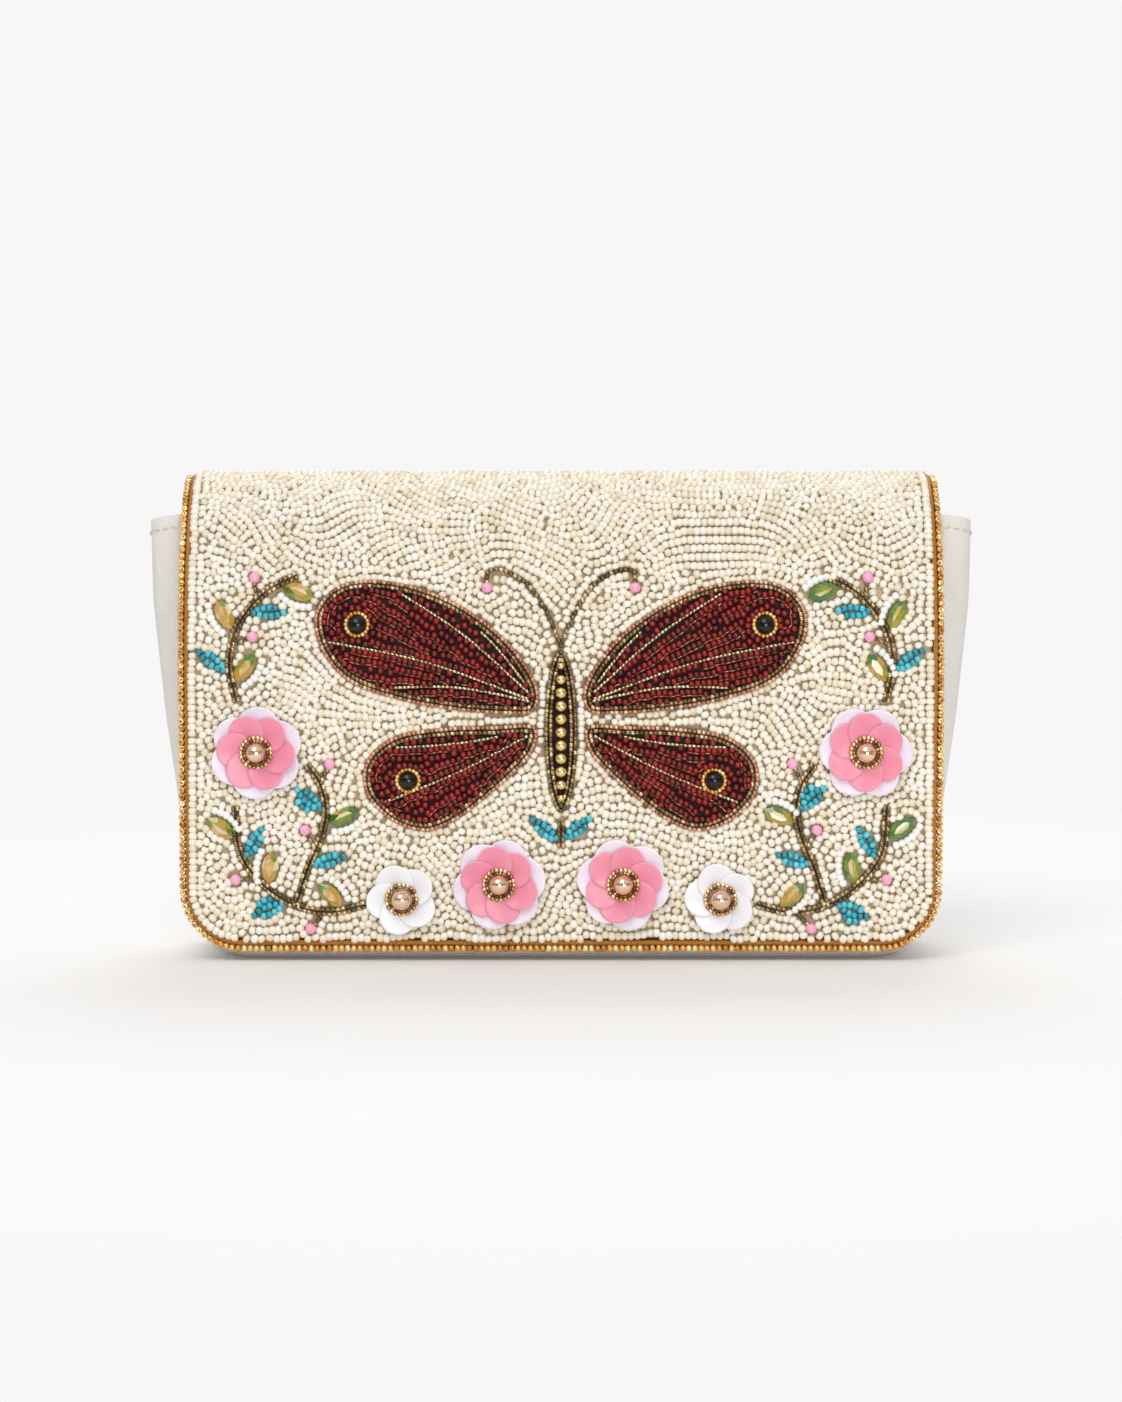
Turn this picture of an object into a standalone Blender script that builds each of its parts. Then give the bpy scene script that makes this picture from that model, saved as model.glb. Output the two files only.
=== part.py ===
"""Beaded flap clutch: a leather pouch whose stiffened flap carries sewn seed-bead work.

Metres, +Z up. The front faces -Y, and the origin is the middle of the flat base.
A place on the flap is given as (u, s, n): u across, s the run up the front from the table,
and n the height off the face of the flap's cloth.
"""
import math

import bmesh
import bpy
import numpy as np
from mathutils import Vector

# Running clearance between two pieces that touch
GAP = 0.0003

# Pouch
POUCH_WIDTH = 0.224
POUCH_DEPTH = 0.036
POUCH_CORNER_RADIUS = 0.0175
FRONT_PANEL_RUN = 0.131
BACK_LEAN = 0.0064
GUSSET_RUN = 0.1315
GUSSET_BACK_RUN = 0.1355
GUSSET_BULGE = 0.0128
GUSSET_BULGE_START = 0.018
GUSSET_BULGE_EASE = 1.5
LEATHER_THICKNESS = 0.0012
PANEL_BOARD_THICKNESS = 0.0012
LINING_THICKNESS = 0.0006
BOARD_MARGIN = 0.0035
LINING_TOP_MARGIN = 0.003

# Flap
FLAP_WIDTH = 0.228
FLAP_CORNER_RADIUS = 0.0186
FLAP_BOTTOM = 0.0028
FRONT_FLAT_HEIGHT = 0.085
SHOULDER_DEPTH = 0.034
SHOULDER_HEIGHT = 0.0585
CLOTH_THICKNESS = 0.0005
FLAP_BOARD_THICKNESS = 0.0012
FLAP_LINING_THICKNESS = 0.0010
BINDING_WIDTH = 0.0015
BINDING_RISE = 0.0009
EDGE_BEAD_DIAMETER = 0.0021
EDGE_BEAD_PITCH = 0.0090
EDGE_BEAD_WAIST = 0.72

# Bead field: rows of ivory seed beads sewn in waves
FIELD_VALLEY = 0.0013
FIELD_PEAK = 0.0022
FIELD_ROWS = 29
FIELD_WAVE_HEIGHT = 0.0011
FIELD_WAVE_LENGTH = 0.072
FIELD_SPANS = 10

# Crease at the top of the back, on which the flap swings
CREASE_RADIUS = 0.0019
CREASE_MARGIN = 0.004

# Magnetic snap
SNAP_RUN = 0.036
SNAP_RADIUS = 0.0075
SOCKET_HEIGHT = 0.0024
SOCKET_RECESS_RADIUS = 0.0036
SOCKET_RECESS_DEPTH = 0.0014
STUD_HEIGHT = 0.0014
STUD_NUB_RADIUS = 0.0024
STUD_NUB_HEIGHT = 0.0011
RIVET_RADIUS = 0.0021
WASHER_RADIUS = 0.0055
WASHER_THICKNESS = 0.0007
RIVET_CLEARANCE = 0.0004

# Sequin flowers
PEARL_RADIUS = 0.0030
PINK_PETAL_COUNT = 6
WHITE_PETAL_COUNT = 5
PETAL_HOLE_RADIUS = 0.0030
PETAL_THICKNESS = 0.0005
PETAL_VALLEY = 0.80
PETAL_VALLEY_RISE = 0.55
PETAL_TURN = math.radians(12)
UNDER_PETAL_RADIUS = 0.0137
UNDER_PETAL_RISE = 0.0013
INNER_PETAL_RADIUS = 0.0117
INNER_PETAL_RISE = 0.0012
WHITE_PETAL_RADIUS = 0.0103
RING_RADIUS = 0.0043
RING_BEAD_RADIUS = 0.00075
LOWER_PINK_FLOWER = (0.0185, 0.0235)
UPPER_PINK_FLOWER_IN = 0.0235
UPPER_PINK_FLOWER_RUN = 0.0630
WHITE_FLOWER = (0.0475, 0.0190)

# Butterfly figure: outlines of the right-hand wings, mirrored for the left
MOTIF_THICKNESS = 0.0010
OUTLINE_WIDTH = 0.0022
OUTLINE_THICKNESS = 0.0013
OUTLINE_CROWN = 0.5
UPPER_WING = [(0.0075, 0.0835), (0.0165, 0.0960), (0.0310, 0.1065), (0.0480, 0.1125), (0.0640, 0.1125),
              (0.0725, 0.1045), (0.0710, 0.0935), (0.0625, 0.0840), (0.0470, 0.0785), (0.0300, 0.0755),
              (0.0150, 0.0745), (0.0080, 0.0755)]
LOWER_WING = [(0.0080, 0.0705), (0.0200, 0.0705), (0.0350, 0.0700), (0.0490, 0.0675), (0.0575, 0.0605),
              (0.0580, 0.0510), (0.0510, 0.0430), (0.0410, 0.0395), (0.0320, 0.0425), (0.0230, 0.0490),
              (0.0140, 0.0570), (0.0085, 0.0635)]
BODY_BOTTOM = 0.0450
BODY_TOP = 0.0930
BODY_HALF_WIDTH = 0.0048
BODY_BAND_WIDTH = 0.0024
BODY_PEARL_RADIUS = 0.0017
BODY_PEARL_COUNT = 11
BODY_PEARL_WAIST = 0.45
BODY_END_SHARE = 0.42
ANTENNA_ROUTE = [(0.0, 0.0945), (0.0042, 0.1040), (0.0095, 0.1120), (0.0165, 0.1165), (0.0215, 0.1165),
                 (0.0220, 0.1130)]
ANTENNA_RADIUS = 0.0009
SPOT_RADIUS = 0.0027
SPOT_HEIGHT = 0.0018
SPOT_SHOULDER = (0.8, 0.65)
SPOTS = {"upper": (0.0605, 0.1005), "lower": (0.0455, 0.0545)}

# Vines: each stem's route as (distance in from the flap's side edge, s), and its leaves as
# (place along the stem from 0 to 1, turn from the stem's way in degrees), on the right-hand side
STEM_RADIUS = 0.0009
STEM_LIFT = 0.0001
LEAF_LENGTH = 0.0090
LEAF_WIDTH = 0.0046
LEAF_HEIGHT = 0.0014
LOWER_VINE = [(0.0550, 0.0170), (0.0460, 0.0150), (0.0360, 0.0165), (0.0260, 0.0225), (0.0185, 0.0325),
              (0.0170, 0.0460)]
LOWER_LEAVES = [(0.10, 58), (0.20, -52), (0.40, -50), (0.53, 55), (0.60, -48), (0.72, 58), (0.83, -45)]
SIDE_BRANCH = [(0.0350, 0.0170), (0.0385, 0.0280), (0.0425, 0.0375), (0.0440, 0.0455), (0.0425, 0.0530),
               (0.0390, 0.0585)]
SIDE_LEAVES = [(0.28, 52), (0.40, -52), (0.58, 55), (0.66, -50), (0.86, 50)]
UPPER_VINE = [(0.0175, 0.0785), (0.0155, 0.0890), (0.0180, 0.1000), (0.0255, 0.1095), (0.0350, 0.1150)]
UPPER_LEAVES = [(0.10, 50), (0.18, -48), (0.36, 55), (0.44, -50), (0.60, 52), (0.70, -52), (0.88, 48)]
CENTRE_STEM_RUN = (0.0350, 0.0415)
CENTRE_LEAVES = [(0.10, 52), (0.16, -52)]

# Fineness of the facets
SHOULDER_FACET = 0.0062
CORNER_STEPS = 5
ROUND_SEGMENTS = 16
STEM_SIDES = 5
STRING_SIDES = 6
GUSSET_ROWS = 6
GUSSET_COLUMNS = 5
LINING_COLUMNS = 4
RING_STEPS = 12
BODY_STEPS = 24
PEARL_BANDS = 5
PEARL_SEGMENTS = 9
SPOT_SEGMENTS = 10

# Heights that follow from the sizes above
FLAP_STACK = CLOTH_THICKNESS + GAP + FLAP_BOARD_THICKNESS + GAP + FLAP_LINING_THICKNESS
SNAP_GAP = SOCKET_HEIGHT + STUD_HEIGHT + 3 * GAP
CLOTH_Y = -(POUCH_DEPTH / 2 + SNAP_GAP + FLAP_STACK)
BOARD_FACE = -(CLOTH_THICKNESS + GAP)
FLAP_LINING_FACE = BOARD_FACE - FLAP_BOARD_THICKNESS - GAP
FLAP_INNER_FACE = FLAP_LINING_FACE - FLAP_LINING_THICKNESS
PANEL_FACE = FLAP_INNER_FACE - SNAP_GAP
PANEL_INNER_FACE = PANEL_FACE - LEATHER_THICKNESS
PANEL_BOARD_FACE = PANEL_INNER_FACE - GAP
PANEL_BOARD_INNER_FACE = PANEL_BOARD_FACE - PANEL_BOARD_THICKNESS
MOTIF_BASE = FIELD_PEAK + GAP
CLOTH_HALF_WIDTH = FLAP_WIDTH / 2 - EDGE_BEAD_DIAMETER - BINDING_WIDTH - 2 * GAP
CLOTH_BOTTOM = FLAP_BOTTOM + EDGE_BEAD_DIAMETER + BINDING_WIDTH + 2 * GAP
CLOTH_CORNER_RADIUS = FLAP_CORNER_RADIUS - (FLAP_WIDTH / 2 - CLOTH_HALF_WIDTH)

# Quarter ellipse of the shoulder, as run against angle
ARC_ANGLES = np.linspace(0.0, math.pi / 2, 400)
ARC_POINTS = np.stack([SHOULDER_DEPTH * (1 - np.cos(ARC_ANGLES)),
                       SHOULDER_HEIGHT * np.sin(ARC_ANGLES)], axis=1)
ARC_RUNS = np.concatenate([[0.0], np.cumsum(np.linalg.norm(np.diff(ARC_POINTS, axis=0), axis=1))])
FLAP_RUN = FRONT_FLAT_HEIGHT + float(ARC_RUNS[-1])
CREASE_Y = CLOTH_Y + SHOULDER_DEPTH + CREASE_RADIUS + GAP
CREASE_Z = FRONT_FLAT_HEIGHT + SHOULDER_HEIGHT - FLAP_STACK / 2
BACK_PANEL_HEIGHT = CREASE_Z - CREASE_RADIUS - GAP

HANDS = {"left": -1, "right": 1}

LEATHER = ("leather", (0.80, 0.765, 0.73), 0.55, 0.0)
BOARD = ("board", (0.55, 0.47, 0.36), 0.9, 0.0)
SATIN = ("satin", (0.78, 0.72, 0.62), 0.45, 0.0)
IVORY = ("ivory_beads", (0.87, 0.84, 0.74), 0.25, 0.0)
AMBER = ("amber_binding", (0.52, 0.26, 0.05), 0.5, 0.0)
GOLD = ("gold_beads", (0.74, 0.44, 0.14), 0.25, 0.8)
PINK = ("pink_sequin", (0.90, 0.42, 0.52), 0.35, 0.0)
LILAC = ("lilac_sequin", (0.86, 0.76, 0.86), 0.3, 0.0)
WHITE = ("white_sequin", (0.92, 0.92, 0.94), 0.3, 0.0)
PEARL = ("rose_pearl", (0.85, 0.55, 0.40), 0.2, 0.3)
BURGUNDY = ("burgundy_beads", (0.20, 0.02, 0.025), 0.25, 0.0)
BRONZE = ("bronze_beads", (0.14, 0.08, 0.035), 0.3, 0.6)
GOLD_PEARL = ("gold_pearl", (0.83, 0.62, 0.26), 0.25, 0.5)
BLACK = ("black_cabochon", (0.01, 0.01, 0.012), 0.15, 0.0)
LEAF = ("leaf_beads", (0.12, 0.52, 0.62), 0.3, 0.0)
STEEL = ("nickel_plate", (0.70, 0.69, 0.67), 0.25, 1.0)


def clear_scene():
    for obj in list(bpy.data.objects):
        bpy.data.objects.remove(obj)


def material(finish):
    name, colour, roughness, metallic = finish
    found = bpy.data.materials.get(name)
    if found:
        return found
    made = bpy.data.materials.new(name)
    made.use_nodes = True
    shader = made.node_tree.nodes["Principled BSDF"]
    shader.inputs["Base Color"].default_value = (*colour, 1.0)
    shader.inputs["Roughness"].default_value = roughness
    shader.inputs["Metallic"].default_value = metallic
    return made


def add_object(name, bm, finish, parent=None, smooth_angle=None):
    """A named object from a bmesh, at the origin or with its origin at its parent's."""
    bmesh.ops.recalc_face_normals(bm, faces=bm.faces[:])
    mesh = bpy.data.meshes.new(name)
    if parent is not None:
        bmesh.ops.translate(bm, verts=bm.verts[:], vec=-parent.location)
    bm.to_mesh(mesh)
    bm.free()
    if smooth_angle is not None:
        mesh.shade_smooth()
        mesh.set_sharp_from_angle(angle=math.radians(smooth_angle))
    mesh.materials.append(material(finish))
    obj = bpy.data.objects.new(name, mesh)
    bpy.context.scene.collection.objects.link(obj)
    obj.parent = parent
    return obj


def front_frame(s):
    """(y, z, normal's y, normal's z) of the cloth's face at run s."""
    if s <= FRONT_FLAT_HEIGHT:
        return CLOTH_Y, s, -1.0, 0.0
    angle = float(np.interp(s - FRONT_FLAT_HEIGHT, ARC_RUNS, ARC_ANGLES))
    y = CLOTH_Y + SHOULDER_DEPTH * (1 - math.cos(angle))
    z = FRONT_FLAT_HEIGHT + SHOULDER_HEIGHT * math.sin(angle)
    across, up = -SHOULDER_HEIGHT * math.cos(angle), SHOULDER_DEPTH * math.sin(angle)
    length = math.hypot(across, up)
    return y, z, across / length, up / length


def on_front(u, s, n):
    """The point at height n off the flap's cloth. A negative n lies inside the bag."""
    y, z, normal_y, normal_z = front_frame(s)
    return Vector((u, y + n * normal_y, z + n * normal_z))


def on_back(u, s, n):
    """The point at height n off the back panel's outer face, which leans forward as it rises."""
    lean = math.atan2(BACK_LEAN, BACK_PANEL_HEIGHT)
    y = POUCH_DEPTH / 2 - s * math.sin(lean) + n * math.cos(lean)
    z = s * math.cos(lean) + n * math.sin(lean)
    return Vector((u, y, max(z, 0.0)))


def levels_between(low, high, step):
    count = max(1, math.ceil((high - low) / step))
    return [low + (high - low) * k / count for k in range(count + 1)]


def shoulder_levels(top):
    """Runs at which a sheet on the front is faceted."""
    if top <= FRONT_FLAT_HEIGHT:
        return []
    return levels_between(FRONT_FLAT_HEIGHT, top, SHOULDER_FACET)[:-1]


def u_path(half_width, bottom, top, radius, levels=()):
    """The U from the top left, round the bottom corners, to the top right.

    Each entry is (u, s, outward u, outward s).
    """
    side = [s for s in sorted(set(levels) | {top, bottom + radius}, reverse=True)
            if bottom + radius <= s <= top]
    left = [(-half_width, s, -1.0, 0.0) for s in side]
    for step in range(1, CORNER_STEPS + 1):
        turn = math.pi / 2 * step / CORNER_STEPS
        out_u, out_s = -math.cos(turn), -math.sin(turn)
        left.append((radius - half_width + radius * out_u, bottom + radius + radius * out_s, out_u, out_s))
    right = [(-u, s, -out_u, out_s) for u, s, out_u, out_s in reversed(left)]
    return left + right


def u_outline(half_width, bottom, top, radius):
    return [(u, s) for u, s, _, _ in u_path(half_width, bottom, top, radius)]


def smooth_loop(points, per_span=2):
    """A closed Catmull-Rom curve through hand-chosen points."""
    count = len(points)
    made = []
    for i in range(count):
        p0, p1, p2, p3 = (np.array(points[(i + k) % count]) for k in (-1, 0, 1, 2))
        for k in range(per_span):
            t = k / per_span
            made.append(tuple(0.5 * (2 * p1 + (p2 - p0) * t + (2 * p0 - 5 * p1 + 4 * p2 - p3) * t ** 2
                                     + (3 * p1 - p0 - 3 * p2 + p3) * t ** 3)))
    return made


def smooth_run(points, per_span=3):
    """An open Catmull-Rom curve through hand-chosen points."""
    ends = [tuple(2 * np.array(points[0]) - np.array(points[1])), *points,
            tuple(2 * np.array(points[-1]) - np.array(points[-2]))]
    made = []
    for i in range(len(points) - 1):
        p0, p1, p2, p3 = (np.array(ends[i + k]) for k in range(4))
        for k in range(per_span):
            t = k / per_span
            made.append(tuple(0.5 * (2 * p1 + (p2 - p0) * t + (2 * p0 - 5 * p1 + 4 * p2 - p3) * t ** 2
                                     + (3 * p1 - p0 - 3 * p2 + p3) * t ** 3)))
    return made + [tuple(points[-1])]


def with_normals(points, closed):
    """(u, s, side u, side s) for each point, the side being 90 degrees right of the way along."""
    count = len(points)
    made = []
    for i, (u, s) in enumerate(points):
        before = points[i - 1] if closed or i > 0 else points[i]
        after = points[(i + 1) % count] if closed or i < count - 1 else points[i]
        along_u, along_s = after[0] - before[0], after[1] - before[1]
        length = math.hypot(along_u, along_s)
        made.append((u, s, along_s / length, -along_u / length))
    return made


def inset(outline, distance):
    """A closed outline moved inwards. The outline runs clockwise or anticlockwise."""
    area = sum(a[0] * b[1] - b[0] * a[1] for a, b in zip(outline, outline[1:] + outline[:1]))
    sign = -1.0 if area > 0 else 1.0
    return [(u + sign * distance * side_u, s + sign * distance * side_s)
            for u, s, side_u, side_s in with_normals(outline, True)]


def plate(outline, levels, low, high, place):
    """A plate over a flat outline, faceted at the levels and laid on a surface from n=low to n=high."""
    bm = bmesh.new()
    bm.faces.new([bm.verts.new((u, s, 0.0)) for u, s in outline])
    for level in levels:
        bmesh.ops.bisect_plane(bm, geom=bm.verts[:] + bm.edges[:] + bm.faces[:], dist=1e-7,
                               plane_co=(0, level, 0), plane_no=(0, 1, 0))
    raised = bmesh.ops.extrude_face_region(bm, geom=bm.faces[:])
    for item in raised["geom"]:
        if isinstance(item, bmesh.types.BMVert):
            item.co.z = 1.0
    for vert in bm.verts:
        vert.co = place(vert.co.x, vert.co.y, high if vert.co.z > 0.5 else low)
    return bm


def sweep(path, section, place, closed=False):
    """Rings of a section along a path. section(i) gives the (across, n) points of ring i."""
    bm = bmesh.new()
    rings = [[bm.verts.new(place(u + a * side_u, s + a * side_s, n)) for a, n in section(i)]
             for i, (u, s, side_u, side_s) in enumerate(path)]
    for i in range(len(rings) - (0 if closed else 1)):
        here, there = rings[i], rings[(i + 1) % len(rings)]
        for j in range(len(here)):
            k = (j + 1) % len(here)
            bm.faces.new((here[j], here[k], there[k], there[j]))
    if not closed:
        bm.faces.new(rings[0])
        bm.faces.new(list(reversed(rings[-1])))
    return bm


def loft(rings):
    """A closed body through rings of points, capped at both ends."""
    bm = bmesh.new()
    made = [[bm.verts.new(point) for point in ring] for ring in rings]
    for here, there in zip(made, made[1:]):
        for j in range(len(here)):
            k = (j + 1) % len(here)
            bm.faces.new((here[j], here[k], there[k], there[j]))
    bm.faces.new(made[0])
    bm.faces.new(made[-1])
    return bm


def round_section(radius, centre_n, sides, across=0.0):
    """A round section with a flat underneath."""
    turns = [2 * math.pi * (k + 0.5) / sides - math.pi / 2 for k in range(sides)]
    return [(across + radius * math.cos(turn), centre_n + radius * math.sin(turn)) for turn in turns]


def turned(profile, segments, u, s, place):
    """A turned shape on a surface at (u, s). Its profile of (radius, n) may end on or off the axis."""
    bm = bmesh.new()
    rings = []
    for radius, n in profile:
        if radius == 0.0:
            rings.append([bm.verts.new(place(u, s, n))])
            continue
        rings.append([bm.verts.new(place(u + radius * math.cos(2 * math.pi * k / segments),
                                         s + radius * math.sin(2 * math.pi * k / segments), n))
                      for k in range(segments)])
    open_ring = profile[0][0] != 0.0
    pairs = list(zip(rings, rings[1:])) + ([(rings[-1], rings[0])] if open_ring else [])
    for here, there in pairs:
        for k in range(segments):
            following = (k + 1) % segments
            corners = [here[k % len(here)], here[following % len(here)],
                       there[following % len(there)], there[k % len(there)]]
            bm.faces.new(list(dict.fromkeys(corners)))
    return bm


def ball_profile(radius, centre_n, bands):
    profile = [(radius * math.sin(math.pi * k / bands), centre_n - radius * math.cos(math.pi * k / bands))
               for k in range(1, bands)]
    return [(0.0, centre_n - radius), *profile, (0.0, centre_n + radius)]


def cut(obj, cutter_bm, name):
    cutter = add_object(name, cutter_bm, BOARD, parent=obj.parent)
    cutter.hide_render = True
    cutter.display_type = "WIRE"
    modifier = obj.modifiers.new(name, "BOOLEAN")
    modifier.operation = "DIFFERENCE"
    modifier.object = cutter


def hole_bm(radius, s, low, high):
    return turned([(0.0, low), (radius, low), (radius, high), (0.0, high)], ROUND_SEGMENTS, 0.0, s, on_front)


def build_panels():
    """Leather panels and their stiffening boards. The boards stop short of the gusset all round."""
    half = POUCH_WIDTH / 2
    outline = u_outline(half, 0.0, FRONT_PANEL_RUN, POUCH_CORNER_RADIUS)
    sheet = plate(outline, shoulder_levels(FRONT_PANEL_RUN), PANEL_INNER_FACE, PANEL_FACE, on_front)
    front = add_object("front_panel", sheet, LEATHER)
    cut(front, hole_bm(RIVET_RADIUS + RIVET_CLEARANCE, SNAP_RUN, PANEL_INNER_FACE - GAP, PANEL_FACE + GAP),
        "front_rivet_hole")
    outline = u_outline(half, 0.0, BACK_PANEL_HEIGHT, POUCH_CORNER_RADIUS)
    add_object("back_panel", plate(outline, [], -LEATHER_THICKNESS, 0.0, on_back), LEATHER)
    margin = LEATHER_THICKNESS + BOARD_MARGIN
    front_top = FRONT_PANEL_RUN - BOARD_MARGIN
    outline = u_outline(half - margin, margin, front_top, POUCH_CORNER_RADIUS - BOARD_MARGIN)
    levels = shoulder_levels(FRONT_PANEL_RUN)
    sheet = plate(outline, levels, PANEL_BOARD_INNER_FACE, PANEL_BOARD_FACE, on_front)
    board = add_object("front_board", sheet, BOARD)
    cut(board, hole_bm(WASHER_RADIUS + RIVET_CLEARANCE, SNAP_RUN, PANEL_BOARD_INNER_FACE - GAP,
                       PANEL_BOARD_FACE + GAP / 2), "front_washer_hole")
    back_top = GUSSET_BACK_RUN - BOARD_MARGIN
    outline = u_outline(half - margin, margin, back_top, POUCH_CORNER_RADIUS - BOARD_MARGIN)
    back_face = -LEATHER_THICKNESS - GAP
    add_object("back_board", plate(outline, [], back_face - PANEL_BOARD_THICKNESS, back_face, on_back), BOARD)


def gusset_grid(inward, front_n, back_n, top_margin, columns):
    """Points of the gusset's sheet moved inward, as rows along the U and columns from front to back."""
    half = POUCH_WIDTH / 2 - inward
    radius = POUCH_CORNER_RADIUS - inward
    top = GUSSET_RUN - top_margin
    levels = [inward + radius + (top - inward - radius) * k / GUSSET_ROWS for k in range(GUSSET_ROWS)]
    path = u_path(half, inward, top, radius, levels)
    rise = (GUSSET_BACK_RUN - inward - radius) / (GUSSET_RUN - inward - radius)
    grid = []
    for u, s, out_u, _ in path:
        straight = max(0.0, s - inward - radius)
        front = on_front(u, s, front_n)
        back = on_back(u, s + straight * (rise - 1), back_n)
        climb = min(1.0, max(0.0, (s - GUSSET_BULGE_START) / (GUSSET_RUN - GUSSET_BULGE_START)))
        bulge = math.copysign(GUSSET_BULGE * (1 - (1 - climb) ** GUSSET_BULGE_EASE), out_u)
        row = []
        for k in range(columns + 1):
            v = 2 * k / columns - 1
            point = front.lerp(back, k / columns)
            point.x += bulge * (1 - v * v)
            row.append(point)
        grid.append(row)
    return grid


def shell(outer, inner):
    """A closed sheet between two grids of the same size."""
    bm = bmesh.new()
    faces = [[[bm.verts.new(p) for p in row] for row in grid] for grid in (outer, inner)]
    rows, columns = len(outer), len(outer[0])
    for grid in faces:
        for i in range(rows - 1):
            for j in range(columns - 1):
                bm.faces.new((grid[i][j], grid[i][j + 1], grid[i + 1][j + 1], grid[i + 1][j]))
    rim = ([(0, j) for j in range(columns)] + [(i, columns - 1) for i in range(1, rows)]
           + [(rows - 1, j) for j in range(columns - 2, -1, -1)] + [(i, 0) for i in range(rows - 2, 0, -1)])
    for (i, j), (k, m) in zip(rim, rim[1:] + rim[:1]):
        bm.faces.new((faces[0][i][j], faces[0][k][m], faces[1][k][m], faces[1][i][j]))
    return bm


def build_gusset():
    """The strip between the panels: flat along the base, and bowed out at the mouth."""
    front_n = PANEL_INNER_FACE - GAP
    back_n = -LEATHER_THICKNESS - GAP
    outer = gusset_grid(0.0, front_n, back_n, 0.0, GUSSET_COLUMNS)
    inner = gusset_grid(LEATHER_THICKNESS, front_n, back_n, 0.0, GUSSET_COLUMNS)
    add_object("gusset", shell(outer, inner), LEATHER, smooth_angle=50)


def build_lining():
    """The satin lining: a sack inside the boards and the gusset, open at the top."""
    inward = LEATHER_THICKNESS + GAP
    front_n = PANEL_BOARD_INNER_FACE - GAP
    back_n = -LEATHER_THICKNESS - 2 * GAP - PANEL_BOARD_THICKNESS
    rings = []
    for wall in (0.0, LINING_THICKNESS):
        low = inward + PANEL_BOARD_THICKNESS + GAP + wall
        grid = gusset_grid(low, front_n - wall, back_n - wall, LINING_TOP_MARGIN, LINING_COLUMNS)
        layer = [[*right, *reversed(left)] for left, right in zip(grid, reversed(grid))]
        layer = layer[:len(grid) // 2]
        rings += reversed(layer) if wall == 0.0 else layer
    add_object("lining", loft(rings), SATIN)


def build_base_board():
    """The stiffener that lies on the gusset, along the flat of the base."""
    half = POUCH_WIDTH / 2 - POUCH_CORNER_RADIUS
    low = LEATHER_THICKNESS + GAP
    front = CLOTH_Y - PANEL_INNER_FACE + BOARD_MARGIN
    back = POUCH_DEPTH / 2 - LEATHER_THICKNESS - BOARD_MARGIN
    bm = bmesh.new()
    bmesh.ops.create_cube(bm, size=1.0)
    for vert in bm.verts:
        vert.co = Vector((2 * half * vert.co.x, front if vert.co.y < 0 else back,
                          low if vert.co.z < 0 else low + PANEL_BOARD_THICKNESS))
    add_object("base_board", bm, BOARD)


def build_snap(flap):
    """The magnetic snap: a socket riveted to the front panel and a stud riveted to the flap."""
    top = PANEL_FACE + GAP + SOCKET_HEIGHT
    seat = PANEL_FACE + GAP
    rivet_end = PANEL_BOARD_FACE - WASHER_THICKNESS
    socket = [(0.0, rivet_end), (RIVET_RADIUS, rivet_end), (RIVET_RADIUS, seat), (SNAP_RADIUS, seat),
              (SNAP_RADIUS, top - GAP), (SNAP_RADIUS - GAP, top), (SOCKET_RECESS_RADIUS, top),
              (SOCKET_RECESS_RADIUS, top - SOCKET_RECESS_DEPTH), (0.0, top - SOCKET_RECESS_DEPTH)]
    add_object("snap_socket", turned(socket, ROUND_SEGMENTS, 0.0, SNAP_RUN, on_front), STEEL)
    bore = RIVET_RADIUS + GAP
    washer = [(bore, rivet_end), (WASHER_RADIUS, rivet_end), (WASHER_RADIUS, PANEL_BOARD_FACE),
              (bore, PANEL_BOARD_FACE)]
    add_object("snap_socket_washer", turned(washer, ROUND_SEGMENTS, 0.0, SNAP_RUN, on_front), STEEL)
    seat = FLAP_INNER_FACE - GAP
    face = seat - STUD_HEIGHT
    end = BOARD_FACE - GAP
    stud = [(0.0, face - STUD_NUB_HEIGHT), (STUD_NUB_RADIUS, face - STUD_NUB_HEIGHT), (STUD_NUB_RADIUS, face),
            (SNAP_RADIUS - GAP, face), (SNAP_RADIUS, face + GAP), (SNAP_RADIUS, seat), (RIVET_RADIUS, seat),
            (RIVET_RADIUS, end), (0.0, end)]
    add_object("snap_stud", turned(stud, ROUND_SEGMENTS, 0.0, SNAP_RUN, on_front), STEEL, parent=flap)
    low = FLAP_LINING_FACE + GAP
    washer = [(bore, low), (WASHER_RADIUS, low), (WASHER_RADIUS, low + WASHER_THICKNESS),
              (bore, low + WASHER_THICKNESS)]
    disc = turned(washer, ROUND_SEGMENTS, 0.0, SNAP_RUN, on_front)
    add_object("snap_stud_washer", disc, STEEL, parent=flap)


def build_flap_sheets(flap):
    """The flap's leather lining and its stiffening board, under the beaded cloth."""
    outline = u_outline(CLOTH_HALF_WIDTH, CLOTH_BOTTOM, FLAP_RUN, CLOTH_CORNER_RADIUS)
    levels = shoulder_levels(FLAP_RUN)
    sheet = plate(outline, levels, FLAP_INNER_FACE, FLAP_LINING_FACE, on_front)
    lining = add_object("flap_lining", sheet, LEATHER, parent=flap)
    bore = RIVET_RADIUS + RIVET_CLEARANCE
    hole = hole_bm(bore, SNAP_RUN, FLAP_INNER_FACE - GAP, FLAP_LINING_FACE + GAP / 2)
    cut(lining, hole, "flap_rivet_hole")
    inner_face = BOARD_FACE - FLAP_BOARD_THICKNESS
    sheet = plate(outline, levels, inner_face, BOARD_FACE, on_front)
    board = add_object("flap_board", sheet, BOARD, parent=flap)
    hole = hole_bm(WASHER_RADIUS + RIVET_CLEARANCE, SNAP_RUN, inner_face - GAP / 2, BOARD_FACE + GAP / 2)
    cut(board, hole, "flap_washer_hole")


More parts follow.
